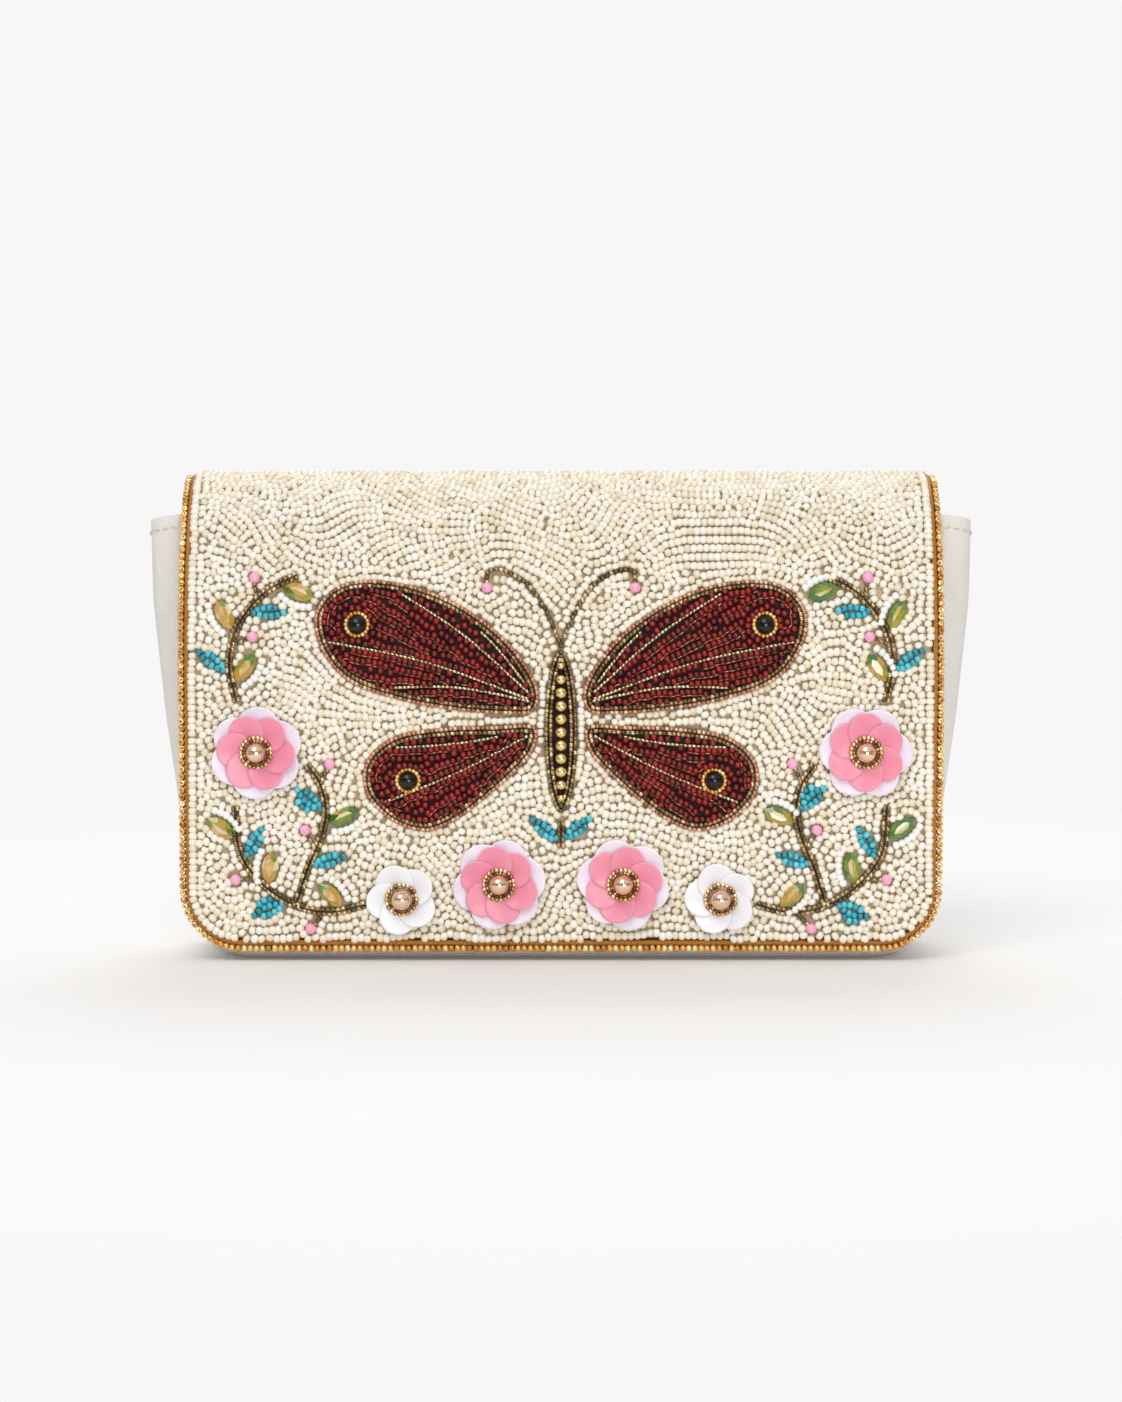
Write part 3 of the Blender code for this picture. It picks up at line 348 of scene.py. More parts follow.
@dataclass(frozen=True)
class CutGlass(Finish):
    """Clear cut glass: each facet has its own shade between the two ends of the stone."""

    stops: Stops = ((0.0, "#2F8A3A"), (1.0, "#D0A040"))

    def make(self) -> bpy.types.Material:
        """Shade by facet.

        Returns:
            The material.
        """
        made, tree, shader, where = self.start()
        tint = add_node(tree, "ShaderNodeAttribute", attribute_name="tint").outputs["Fac"]
        noise = add_node(tree, "ShaderNodeTexNoise", {"Vector": where, "Scale": 450.0, "Detail": 1.0})
        shift = add_node(tree, "ShaderNodeMapRange", {"Value": noise, "To Min": -0.22, "To Max": 0.22})
        mixed = add_node(tree, "ShaderNodeMath", {0: tint, 1: shift}, operation="ADD", use_clamp=True)
        feed(tree, shader, {"Base Color": add_node(tree, "ShaderNodeValToRGB", {"Fac": mixed}, self.stops)})
        return made


# The hole colour of every bead finish is painted shade at the bead's ends
# Opaque ivory seed beads, mixed from whiter and creamier lots: soft gloss
IVORY = BeadGlass("ivory opaque glass", roughness=0.3, coat=0.2, mottle=0.05, hole="#B39B76",
                  stops=((0.0, "#FAF4E9"), (0.45, "#F6EEDD"), (0.8, "#F1E6D0"), (1.0, "#E9DBC0")))
# Chalk white beads beside the crystals: cleaner and cooler than the ground
CHALK = BeadGlass("white opaque glass", roughness=0.25, coat=0.3, mottle=0.03, hole="#9A9284",
                  stops=((0.0, "#FDFCF8"), (1.0, "#F4F0E6")))
# Silver-lined amber beads: bright gold glints and deep amber sides
GOLD = BeadGlass("silver-lined amber glass", roughness=0.18, metallic=0.5, coat=0.6, hole="#4A2508", mottle=0.25,
                 stops=((0.0, "#FFE3A6"), (0.4, "#F3C069"), (0.8, "#DB9A3A"), (1.0, "#B87A2C")))
# Plated beads in the flower rings: paler and rosier than the edge
RING_GOLD = BeadGlass("pale gold plated metal", roughness=0.16, metallic=0.95, hole="#2A160A", mottle=0.15,
                      stops=((0.0, "#FFE9C0"), (0.5, "#E8BE84"), (1.0, "#B47C45")))
# Fired bronze cut beads: nearly black, with warm metal glints
BRONZE = BeadGlass("metallic bronze cut glass", roughness=0.26, metallic=0.8, coat=0.4, hole="#2A1D11", mottle=0.35,
                   stops=((0.0, "#E6D2A4"), (0.25, "#B2976A"), (0.6, "#846C46"), (1.0, "#574327")))
# Rose-copper lined beads round the figure
COPPER_GLASS = BeadGlass("copper-lined glass", roughness=0.24, metallic=0.55, coat=0.5, hole="#4A2416", mottle=0.25,
                         stops=((0.0, "#F3C9AE"), (0.4, "#CF9474"), (1.0, "#97603F")))
# Transparent ruby beads over dark cloth: wine red, wet gloss
BURGUNDY = BeadGlass("ruby glass", roughness=0.3, coat=0.1, hole="#1A0304", mottle=0.12,
                     stops=((0.0, "#8C0E0E"), (0.5, "#720809"), (1.0, "#4C0406")))
# Lustred turquoise beads
TURQUOISE = BeadGlass("lustred turquoise glass", roughness=0.16, coat=0.8, hole="#0E4A56", mottle=0.15,
                      stops=((0.0, "#62CBD8"), (0.35, "#2FB2C4"), (0.75, "#1E99AC"), (1.0, "#127E8D")))
# Opaque pink round beads
PINK_GLASS = BeadGlass("pink opaque glass", roughness=0.2, coat=0.6, hole="#B8608A", mottle=0.05,
                       stops=((0.0, "#FDB6D2"), (1.0, "#F293BC")))
# Champagne metal beads and drawn wire
CHAMPAGNE = BeadGlass("champagne metal", roughness=0.24, metallic=0.9, hole="#5C4A30", mottle=0.2,
                      stops=((0.0, "#EBDDB8"), (0.6, "#CDBB8C"), (1.0, "#A08A5C")))
COPPER = BeadGlass("copper thread", roughness=0.3, metallic=0.85, hole="#4A2012", mottle=0.25,
                   stops=((0.0, "#D99A76"), (0.6, "#B4724F"), (1.0, "#7E4426")))
# Polished black glass, domed
JET = BeadGlass("jet glass", roughness=0.2, hole="#050505", mottle=0.4,
                stops=((0.0, "#040405"), (1.0, "#0A090B")))
# Cut glass: the near-white top of the ramp is a painted highlight on the stones' tables
CRYSTAL = CutGlass("cut olive glass", roughness=0.06, coat=0.8, ior=1.6, transmission=0.2,
                   stops=((0.0, "#3A7A2A"), (0.2, "#7E9A24"), (0.42, "#B3A832"), (0.6, "#CF9F36"), (0.8, "#DFB05A"),
                         (1.0, "#FBF0CF")))
# Sequin films: the middle colour is painted shade and the lip colour is a painted highlight
PINK_FILM = Sequin("pink satin sequin film", roughness=0.36, coat=0.25, coat_roughness=0.3, sheen=0.3,
                   middle="#E97F99", rim="#F394AB", lip="#F9C0CC")
LILAC_FILM = Sequin("frosted lilac sequin film", roughness=0.42, coat=0.2, coat_roughness=0.35, sheen=0.3,
                    middle="#E7D2E6", rim="#F4E8F4")
WHITE_FILM = Sequin("white satin sequin film", roughness=0.36, coat=0.3, coat_roughness=0.3, sheen=0.2,
                    middle="#E4E4EA", rim="#F8F8FB")
# Pearls: the edge colour is painted shade at the rim
ROSE_PEARL = Pearl("rose gold pearl lacquer", roughness=0.12, metallic=0.85, coat=0.6, face="#FBD9B4", edge="#B87445")
GOLD_PEARL = Pearl("gold pearl lacquer", roughness=0.15, metallic=0.8, coat=0.6, face="#FADF95", edge="#9A6A22")
CALF = Leather("fine-grained stone calf", roughness=0.5, sheen=0.1)
# Each weave's gap colour is painted shade between its threads
# Plain weave under the beads, seen between the rows
LINEN = Weave("beige linen ground", roughness=0.85, sheen=0.3, thread="#E8DABF", gap="#C6AC80", pitch=0.55 * MM)
# Dark cloth under the wine-red rows
DARK_CLOTH = Weave("dark wine cloth", roughness=0.8, thread="#3A1210", gap="#180806", pitch=0.5 * MM)
# Satin: long floats one way, so the weft is stretched and the face is smooth
AMBER_SATIN = Weave("amber satin", roughness=0.5, thread="#D48A18", gap="#8A5208", pitch=0.7 * MM,
                    weft=3.0, depth=0.1 * MM)
LINING_SATIN = Weave("champagne satin", roughness=0.36, sheen=0.5, thread="#DCD0BE", gap="#BFAF98", pitch=0.5 * MM,
                     weft=4.0, depth=0.03 * MM)
GREYBOARD = Grained("greyboard", roughness=0.9, light="#B09A7C", dark="#8C7759", size=0.7 * MM, relief=0.1 * MM)
# Bright nickel plate with the faint circular marks of its stamping
NICKEL = Grained("nickel plate", roughness=0.22, metallic=1.0, light="#DAD6CF", dark="#BDB8AF", size=0.5 * MM,
                 stretch=(1.0, 1.0, 6.0), relief=0.01 * MM)
THREAD = Grained("waxed thread", roughness=0.6, sheen=0.3, light="#E3DBD2", dark="#C7BCAF", size=0.3 * MM,
                 relief=0.08 * MM)


# The faces that everything is sewn on

def runs_of(line: Points) -> Points:
    """The distance along a line at each of its points."""
    return np.concatenate([[0.0], np.cumsum(np.linalg.norm(np.diff(line, axis=0), axis=1))])


@dataclass(frozen=True)
class FlapFace:
    """The face of the flap's cloth: upright at the front, then a quarter ellipse over the top."""

    cloth_y: float = -0.0260
    flat_height: float = 0.085
    shoulder_depth: float = 0.034
    shoulder_height: float = 0.0585

    def _angle(self, s: Points) -> Points:
        """The ellipse's angle at each run.

        Args:
            s: Runs up the front.

        Returns:
            Angles in radians, 0 on the upright part.
        """
        angles = np.linspace(0.0, math.pi / 2, 400)
        arc = np.stack([self.shoulder_depth * (1 - np.cos(angles)), self.shoulder_height * np.sin(angles)], axis=1)
        runs = runs_of(arc)
        return np.interp(np.asarray(s, float) - self.flat_height, runs, angles)

    def up(self, s: Points) -> Points:
        """The face's outward direction at each run.

        Args:
            s: Runs up the front.

        Returns:
            One unit vector for each run.
        """
        s = np.asarray(s, float)
        angle = self._angle(s)
        y, z = -self.shoulder_height * np.cos(angle), self.shoulder_depth * np.sin(angle)
        flat = s <= self.flat_height
        y, z = np.where(flat, -1.0, y), np.where(flat, 0.0, z)
        size = np.hypot(y, z)
        return np.stack([np.zeros_like(y), y / size, z / size], axis=-1)

    def lay(self, u: Any, s: Any, n: Any) -> Points:
        """Points at height n off the face.

        Args:
            u: Places across.
            s: Runs up the front.
            n: Heights off the cloth.

        Returns:
            Points in the model's frame, one for each place.
        """
        u, s, n = np.broadcast_arrays(np.asarray(u, float), np.asarray(s, float), np.asarray(n, float))
        angle = self._angle(s)
        y = self.cloth_y + self.shoulder_depth * (1 - np.cos(angle))
        z = np.minimum(s, self.flat_height) + self.shoulder_height * np.sin(angle)
        return np.stack([u, y, z], axis=-1) + n[..., None] * self.up(s)


@dataclass(frozen=True)
class BackFace:
    """The outer face of the back panel, which leans forward as it rises."""

    depth: float = 0.036
    lean: float = math.atan2(0.0064, 0.13965)

    def up(self, s: Points) -> Points:
        """The panel's outward direction, the same all over."""
        return np.broadcast_to([0.0, math.cos(self.lean), math.sin(self.lean)], (*np.shape(s), 3))

    def lay(self, u: Any, s: Any, n: Any) -> Points:
        """Points at height n off the back panel.

        Args:
            u: Places across.
            s: Runs up the panel.
            n: Heights off its outer face.

        Returns:
            Points in the model's frame.
        """
        u, s, n = np.broadcast_arrays(np.asarray(u, float), np.asarray(s, float), np.asarray(n, float))
        y = self.depth / 2 - s * math.sin(self.lean) + n * math.cos(self.lean)
        z = np.maximum(s * math.cos(self.lean) + n * math.sin(self.lean), 0.0)
        return np.stack([u, y, z], axis=-1)


FLAP_FACE = FlapFace()
BACK_FACE = BackFace()
Face = FlapFace | BackFace


# Lines on a face

def smooth(points: Route, closed: bool, spans: int = 8) -> Points:
    """A Catmull-Rom curve through given points.

    Args:
        points: The points, as (u, s).
        closed: Whether the curve returns to its start.
        spans: Steps between two points.

    Returns:
        The curve's points.
    """
    given = np.array(points, float)
    if closed:
        ends = np.concatenate([given[-1:], given, given[:2]])
        count = len(given)
    else:
        ends = np.concatenate([[2 * given[0] - given[1]], given, [2 * given[-1] - given[-2]]])
        count = len(given) - 1
    made = []
    for i in range(count):
        p0, p1, p2, p3 = ends[i:i + 4]
        for t in np.arange(spans) / spans:
            made.append(0.5 * (2 * p1 + (p2 - p0) * t + (2 * p0 - 5 * p1 + 4 * p2 - p3) * t ** 2
                               + (3 * p1 - p0 - 3 * p2 + p3) * t ** 3))
    return np.array(made if closed else made + [given[-1]])


def spaced(line: Points, step: float, closed: bool = False) -> Points:
    """A line with its points moved to an even spacing.

    Args:
        line: The line's points.
        step: The spacing wanted.
        closed: Whether the line returns to its start.

    Returns:
        Evenly spaced points along the same line.
    """
    whole = np.concatenate([line, line[:1]]) if closed else np.asarray(line, float)
    runs = runs_of(whole)
    count = max(1, round(runs[-1] / step))
    at = np.linspace(0.0, runs[-1], count + 1)
    made = np.stack([np.interp(at, runs, whole[:, k]) for k in range(whole.shape[1])], axis=1)
    return made[:-1] if closed else made


def sides_of(line: Points, closed: bool) -> Points:
    """Unit vectors 90 degrees to the right of the way along a line.

    Args:
        line: The line's points.
        closed: Whether it returns to its start.

    Returns:
        One vector for each point.
    """
    if closed:
        along = np.roll(line, -1, axis=0) - np.roll(line, 1, axis=0)
    else:
        along = np.gradient(line, axis=0)
    along = along / np.maximum(np.linalg.norm(along, axis=1, keepdims=True), 1e-9)
    return np.stack([along[:, 1], -along[:, 0]], axis=1)


def inset(loop: Points, distance: float) -> Points:
    """A closed line moved inwards.

    Args:
        loop: The closed line.
        distance: How far it moves.

    Returns:
        The new line, point for point.
    """
    ahead = np.roll(loop, -1, axis=0)
    area = float(np.sum(loop[:, 0] * ahead[:, 1] - ahead[:, 0] * loop[:, 1]))
    return loop + (-1.0 if area > 0 else 1.0) * distance * sides_of(loop, True)


def inside(loop: Points, u: Points, s: Points) -> Points:
    """Whether places lie inside a closed line.

    Args:
        loop: The closed line.
        u: Places across.
        s: Runs.

    Returns:
        True for each place inside.
    """
    hit = np.zeros(np.shape(u), bool)
    for (u0, s0), (u1, s1) in zip(loop, np.roll(loop, -1, axis=0)):
        if s0 == s1:
            continue
        crossing = ((s0 > s) != (s1 > s)) & (u < (u1 - u0) * (s - s0) / (s1 - s0) + u0)
        hit ^= crossing
    return hit


def mirrored(points: Route, side: int) -> list[tuple[float, float]]:
    """The same points on the right (side 1) or the left (side -1)."""
    return [(side * u, s) for u, s in points]


def edge_line(inward: float, half_width: float = 0.114, bottom: float = 0.0028, radius: float = 0.0186,
              top: float = 0.15893) -> Points:
    """The line down the flap's left side, round the bottom corners and up the right side.

    Args:
        inward: Distance inside the flap's outer edge.
        half_width: Half the flap's width.
        bottom: Run of the flap's lower edge.
        radius: Radius of the lower corners.
        top: Run at which the flap ends on the crest.

    Returns:
        The line's points.
    """
    half, low, bend = half_width - inward, bottom + inward, radius - inward
    turns = np.linspace(0.0, math.pi / 2, 24)
    corner = np.stack([bend - half - bend * np.cos(turns), low + bend - bend * np.sin(turns)], axis=1)
    left = np.concatenate([[(-half, s) for s in np.linspace(top, low + bend, 60)[:-1]], corner])
    right = left[::-1] * (-1.0, 1.0)
    return np.concatenate([left, right])


# Meshes and pieces

def to_object(name: str, points: Points, faces: Sequence[Sequence[int]], finish: Optional[Finish] = None,
              edges: Sequence[Sequence[int]] = (), flat: bool = False) -> Piece:
    """An object at the origin from points and faces.

    Args:
        name: The piece's name.
        points: Its points.
        faces: Corner numbers of each face.
        finish: What it is made of.
        edges: Loose edges, for lines that carry beads.
        flat: Whether its facets stay flat, as on cut glass.

    Returns:
        The new object, linked to the scene.
    """
    mesh = bpy.data.meshes.new(name)
    mesh.from_pydata([tuple(map(float, p)) for p in points], [tuple(e) for e in edges], [tuple(f) for f in faces])
    if not flat:
        mesh.shade_smooth()
    if finish:
        mesh.materials.append(finish.material())
    made = bpy.data.objects.new(name, mesh)
    bpy.context.scene.collection.objects.link(made)
    return made


def give(made: Piece, name: str, values: Points, domain: str = "POINT") -> None:
    """Stores numbers or vectors on a piece's points or faces.

    Args:
        made: The piece.
        name: The attribute's name.
        values: One number or vector for each point or face.
        domain: POINT or FACE.
    """
    values = np.asarray(values, float)
    kind, key = ("FLOAT_VECTOR", "vector") if values.ndim == 2 else ("FLOAT", "value")
    attribute = made.data.attributes.new(name, kind, domain)
    attribute.data.foreach_set(key, values.ravel())


def give_uv(made: Piece, uv: Points) -> None:
    """Stores a UV map in metres, one pair for each point."""
    layer = made.data.uv_layers.new(name="cloth")
    corners = np.empty(len(made.data.loops), int)
    made.data.loops.foreach_get("vertex_index", corners)
    layer.data.foreach_set("uv", np.asarray(uv, float)[corners].ravel())


def on_body(made: Piece, body: str, slot: str, *nodes: str) -> Piece:
    """Puts a finished piece on its body and hides the nodes that it stands for.

    Args:
        made: The finished piece.
        body: The body that it rides on.
        slot: The record's material slot; not used.
        *nodes: Nodes that it replaces.

    Returns:
        The same piece.
    """
    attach(made, body)
    if nodes:
        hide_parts(*nodes)
    made.data.calc_loop_triangles()
    LOG.info("%s: %d triangles on %s", made.name, len(made.data.loop_triangles), body)
    return made


def tube(name: str, rings: Sequence[Points], finish: Finish, closed: bool = False, capped: bool = True) -> Piece:
    """A skin through rings of points, each ring closed.

    Args:
        name: The piece's name.
        rings: Rings with the same number of points.
        finish: What it is made of.
        closed: Whether the last ring joins the first.
        capped: Whether the open ends are closed.

    Returns:
        The new object, with a UV map of run against girth.
    """
    rings = [np.asarray(r) for r in rings]
    count, sides = len(rings), len(rings[0])
    faces = []
    for i in range(count if closed else count - 1):
        here, there = i * sides, ((i + 1) % count) * sides
        for k in range(sides):
            j = (k + 1) % sides
            faces.append((here + k, here + j, there + j, there + k))
    if capped and not closed:
        faces.append(tuple(range(sides))[::-1])
        faces.append(tuple((count - 1) * sides + k for k in range(sides)))
    made = to_object(name, np.concatenate(rings), faces, finish)
    middles = np.array([r.mean(axis=0) for r in rings])
    runs = runs_of(middles)
    girth = runs_of(rings[0])
    give_uv(made, [(runs[i], girth[k]) for i in range(count) for k in range(sides)])
    outward(made)
    return made


def outward(made: Piece) -> None:
    """Turns a closed piece's faces outwards, with its doubled points merged first."""
    bm = bmesh.new()
    bm.from_mesh(made.data)
    bmesh.ops.remove_doubles(bm, verts=bm.verts[:], dist=1e-7)
    bmesh.ops.recalc_face_normals(bm, faces=bm.faces[:])
    bm.to_mesh(made.data)
    bm.free()


def two_sided(name: str, sides: tuple[Points, Points], flat: Points, finish: Finish, turned: bool = True) -> Piece:
    """A closed sheet from the grids of points of its two sides, whose edges meet.

    Args:
        name: The piece's name.
        sides: The outer and the inner grid.
        flat: The flat cloth's (u, v) at each place of the grid.
        finish: What it is made of.
        turned: Whether the inner grid's faces start out the other way round.

    Returns:
        The new object.
    """
    rows, columns = flat.shape[:2]
    faces = []
    for layer in (0, 1):
        for i in range(rows - 1):
            for j in range(columns - 1):
                a = (layer * rows + i) * columns + j
                quad = (a, a + 1, a + columns + 1, a + columns)
                faces.append(quad[::-1] if layer and turned else quad)
    made = to_object(name, np.concatenate(sides).reshape(-1, 3), faces, finish)
    give_uv(made, np.concatenate([flat, flat]).reshape(-1, 2))
    outward(made)
    return made


@dataclass(frozen=True)
class SoftPlate:
    """A sheet of leather, cloth or board on a face, with its edges rounded over.

    Its outline has square upper corners and round lower ones.
    """

    face: Face
    half_width: float
    bottom: float
    top: float
    radius: float
    middle: float
    thickness: float
    step: float = 3.0 * MM
    edge: Optional[float] = None

    def build(self, name: str, finish: Finish, relief: Optional[Callable[[Points, Points], Points]] = None) -> Piece:
        """Makes the sheet.

        Args:
            name: The piece's name.
            finish: What it is made of.
            relief: Gives a height added to the outer side at each (u, s).

        Returns:
            The new object, closed all round.
        """
        round_over = self.edge or self.thickness / 2
        rim = np.array([0.0, 0.08, 0.35, 0.7, 1.0]) * round_over
        corner = np.linspace(round_over, self.radius, 14)[1:]
        rise = np.arange(self.bottom + self.radius + self.step, self.top - round_over, self.step)
        levels = np.concatenate([self.bottom + rim, self.bottom + corner, rise, self.top - rim[::-1]])
        spans = np.linspace(-1.0, 1.0, max(3, round(2 * self.half_width / self.step)))
        rows_u, rows_s = [], []
        for s in levels:
            drop = max(0.0, self.radius - (s - self.bottom))
            half = self.half_width - self.radius + math.sqrt(max(self.radius ** 2 - drop ** 2, 0.0))
            left = -half + rim
            row = np.concatenate([left, spans[1:-1] * (half - round_over), -left[::-1]])
            rows_u.append(row)
            rows_s.append(np.full_like(row, s))
        u, s = np.array(rows_u), np.array(rows_s)
        across, up = self.half_width - np.abs(u), s - self.bottom
        turn = self.radius - np.hypot(np.maximum(self.radius - across, 0), np.maximum(self.radius - up, 0))
        reach = np.where((across < self.radius) & (up < self.radius), turn, np.minimum(across, up))
        reach = np.clip(np.minimum(reach, self.top - s) / round_over, 0.0, 1.0)
        swell = np.sqrt(1 - (1 - reach) ** 2)
        height = self.thickness / 2 * swell
        extra = relief(u, s) * swell if relief else 0.0
        sides = self.face.lay(u, s, self.middle + height + extra), self.face.lay(u, s, self.middle - height)
        return two_sided(name, sides, np.stack([u, s], axis=-1), finish)


# Beads strung or sewn by Geometry Nodes

class Axis(Enum):
    """Which way a bead's hole runs."""

    ALONG = "along the line"
    OUTWARD = "out of the face"


def bead_shape(name: str, profile: Sequence[tuple[float, float]], segments: int, pit: float = 0.3) -> Piece:
    """A bead of length 1 on X and diameter 1, with a pit at each end for its hole.

    Args:
        name: The shape's name.
        profile: (place on X, radius as a share of 1) from one end to the other.
        segments: Points round it.
        pit: How far from the middle the bottom of each hole lies.

    Returns:
        The shape, which only the node trees use.
    """
    turns = 2 * math.pi * np.arange(segments) / segments
    # The pit points carry the mask for the painted shade at the holes
    points, faces, hole = [(-pit, 0.0, 0.0)], [], [1.0]
    for x, radius in profile:
        points += [(x, 0.5 * radius * math.cos(t), 0.5 * radius * math.sin(t)) for t in turns]
        hole += [0.0] * segments
    points.append((pit, 0.0, 0.0))
    hole.append(1.0)
    last = len(points) - 1
    for i in range(len(profile) - 1):
        for k in range(segments):
            a, b = 1 + i * segments + k, 1 + i * segments + (k + 1) % segments
            faces.append((a, a + segments, b + segments, b))
    for k in range(segments):
        j = (k + 1) % segments
        faces.append((0, 1 + k, 1 + j))
        faces.append((last, last - segments + j, last - segments + k))
    made = to_object(name, np.array(points), faces)
    give(made, "hole", hole)
    outward(made)
    made.hide_render = True
    return made


@dataclass
class BeadWork:
    """The node trees that put beads on points or along lines, and the shapes they use."""

    shapes: dict[str, Piece] = field(default_factory=dict)
    trees: dict[bool, Tree] = field(default_factory=dict)

    def __post_init__(self) -> None:
        """Makes the shapes and the two trees."""
        barrel = [(-0.5, 0.48), (-0.41, 0.8), (-0.16, 1.0), (0.16, 1.0), (0.41, 0.8), (0.5, 0.48)]
        self.shapes["seed"] = bead_shape("seed bead shape", barrel, 7)
        self.shapes["cut"] = bead_shape("cut bead shape", [(-0.5, 0.55), (-0.42, 0.95), (0.42, 0.95), (0.5, 0.55)], 6)
        ring = [(-0.5, 0.5), (-0.42, 0.82), (-0.15, 1.0), (0.15, 1.0), (0.42, 0.82), (0.5, 0.5)]
        self.shapes["edge"] = bead_shape("edge bead shape", ring, 10, 0.1)
        turns = np.linspace(0.16, math.pi - 0.16, 9)
        ball = [(-0.5 * math.cos(t), math.sin(t)) for t in turns]
        self.shapes["round"] = bead_shape("round bead shape", ball, 14, 0.4)
        thread = [(-0.5, 0.3), (-0.44, 0.75), (-0.25, 1.0), (0.25, 1.0), (0.44, 0.75), (0.5, 0.3)]
        self.shapes["stitch"] = bead_shape("stitch shape", thread, 8, 0.5)
        self.trees = {False: self.tree(False), True: self.tree(True)}

    def tree(self, strung: bool) -> Tree:
        """Builds a tree.

        Args:
            strung: True to space beads along lines, False to set one on each point.

        Returns:
            The tree, which ends in plain geometry with its material.
        """
        made = bpy.data.node_groups.new("beads on lines" if strung else "beads on points", "GeometryNodeTree")
        face = made.interface
        face.new_socket("Geometry", in_out="INPUT", socket_type="NodeSocketGeometry")
        for name, kind in (("Shape", "Object"), ("Length", "Float"), ("Diameter", "Float"), ("Height", "Float"),
                           ("Pitch", "Float"), ("Size Spread", "Float"), ("Tilt Spread", "Float"),
                           ("Outward Hole", "Bool"), ("Seed", "Int"), ("Finish", "Material")):
            face.new_socket(name, in_out="INPUT", socket_type="NodeSocket" + kind)
        face.new_socket("Geometry", in_out="OUTPUT", socket_type="NodeSocketGeometry")
        given = add_node(made, "NodeGroupInput").outputs
        up = add_node(made, "GeometryNodeInputNamedAttribute", {"Name": "up"}, data_type="FLOAT_VECTOR")
        if strung:
            curve = add_node(made, "GeometryNodeMeshToCurve", {"Mesh": given["Geometry"]})
            carrier = add_node(made, "GeometryNodeResampleCurve", {"Curve": curve, "Length": given["Pitch"]},
                               mode="LENGTH")
            along = add_node(made, "GeometryNodeInputTangent")
        else:
            carrier = given["Geometry"]
            along = add_node(made, "GeometryNodeInputNamedAttribute", {"Name": "along"}, data_type="FLOAT_VECTOR")
        lying, standing = (add_node(made, "FunctionNodeAxesToRotation", {"Primary Axis": one, "Secondary Axis": two},
                                    primary_axis="X", secondary_axis="Z") for one, two in ((along, up), (up, along)))
        chosen = add_node(made, "GeometryNodeSwitch", {0: given["Outward Hole"], 1: lying, 2: standing},
                          input_type="ROTATION")
        low = add_node(made, "ShaderNodeMath", {0: given["Tilt Spread"], 1: -1.0}, operation="MULTIPLY")
        tilt = add_node(made, "FunctionNodeRandomValue", {0: low, 1: given["Tilt Spread"], "Seed": given["Seed"]},
                        data_type="FLOAT_VECTOR")
        turn = add_node(made, "FunctionNodeEulerToRotation", {0: tilt})
        turned = add_node(made, "FunctionNodeRotateRotation", {"Rotation": chosen, "Rotate By": turn},
                          rotation_space="LOCAL")
        small, large = (add_node(made, "ShaderNodeMath", {0: 1.0, 1: given["Size Spread"]}, operation=operation)
                        for operation in ("SUBTRACT", "ADD"))
        spread = add_node(made, "FunctionNodeRandomValue", {0: small, 1: large, "Seed": given["Seed"]},
                          data_type="FLOAT_VECTOR")
        size = add_node(made, "ShaderNodeCombineXYZ", {0: given["Length"], 1: given["Diameter"], 2: given["Height"]})
        scale = add_node(made, "ShaderNodeVectorMath", {0: size, 1: spread}, operation="MULTIPLY")
        shape = add_node(made, "GeometryNodeObjectInfo", {"Object": given["Shape"]}).outputs["Geometry"]
        beads = add_node(made, "GeometryNodeInstanceOnPoints",
                         {"Points": carrier, "Instance": shape, "Rotation": turned, "Scale": scale})
        shade = add_node(made, "FunctionNodeRandomValue", {"Seed": given["Seed"]}, data_type="FLOAT")
        marked = add_node(made, "GeometryNodeStoreNamedAttribute", {"Geometry": beads, "Name": "tint", "Value": shade},
                          data_type="FLOAT", domain="INSTANCE")
        real = add_node(made, "GeometryNodeRealizeInstances", {"Geometry": marked})
        dressed = add_node(made, "GeometryNodeSetMaterial", {"Geometry": real, "Material": given["Finish"]})
        add_node(made, "NodeGroupOutput", {"Geometry": dressed})
        return made

    def run(self, carrier: Piece, strung: bool, shape: str, finish: Finish, length: float,
            diameter: float, height: Optional[float] = None, pitch: float = 1.0, size_spread: float = 0.05,
            tilt: float = 0.08, axis: Axis = Axis.ALONG, seed: int = 1) -> Piece:
        """Turns a carrier of points or lines into a plain mesh of beads.

        Args:
            carrier: The points or lines, with their up and along attributes.
            strung: Whether beads are spaced along the lines.
            shape: Name of the bead's shape.
            finish: What the beads are made of.
            length: Bead length along its hole.
            diameter: Bead width.
            height: Bead height off the cloth, where it isn't the width.
            pitch: Distance from bead to bead on a line.
            size_spread: Share by which sizes differ.
            tilt: Largest turn away from true, in radians.
            axis: Which way the hole runs.
            seed: Fixes what is random.

        Returns:
            The carrier object, now the beads.
        """
        modifier = carrier.modifiers.new("beads", "NODES")
        tree = self.trees[strung]
        modifier.node_group = tree
        values = {"Shape": self.shapes[shape], "Length": length, "Diameter": diameter, "Height": height or diameter,
                  "Pitch": pitch, "Size Spread": size_spread, "Tilt Spread": tilt,
                  "Outward Hole": axis is Axis.OUTWARD, "Seed": seed, "Finish": finish.material()}
        for item in tree.interface.items_tree:
            if item.in_out == "INPUT" and item.name in values:
                modifier[item.identifier] = values[item.name]
        graph = bpy.context.evaluated_depsgraph_get()
        mesh = bpy.data.meshes.new_from_object(carrier.evaluated_get(graph), preserve_all_data_layers=True,
                                               depsgraph=graph)
        carrier.modifiers.clear()
        carrier.data = mesh
        mesh.shade_smooth()
        return carrier

    def clear(self) -> None:
        """Removes the shapes, which aren't part of the bag."""
        for shape in self.shapes.values():
            bpy.data.objects.remove(shape)


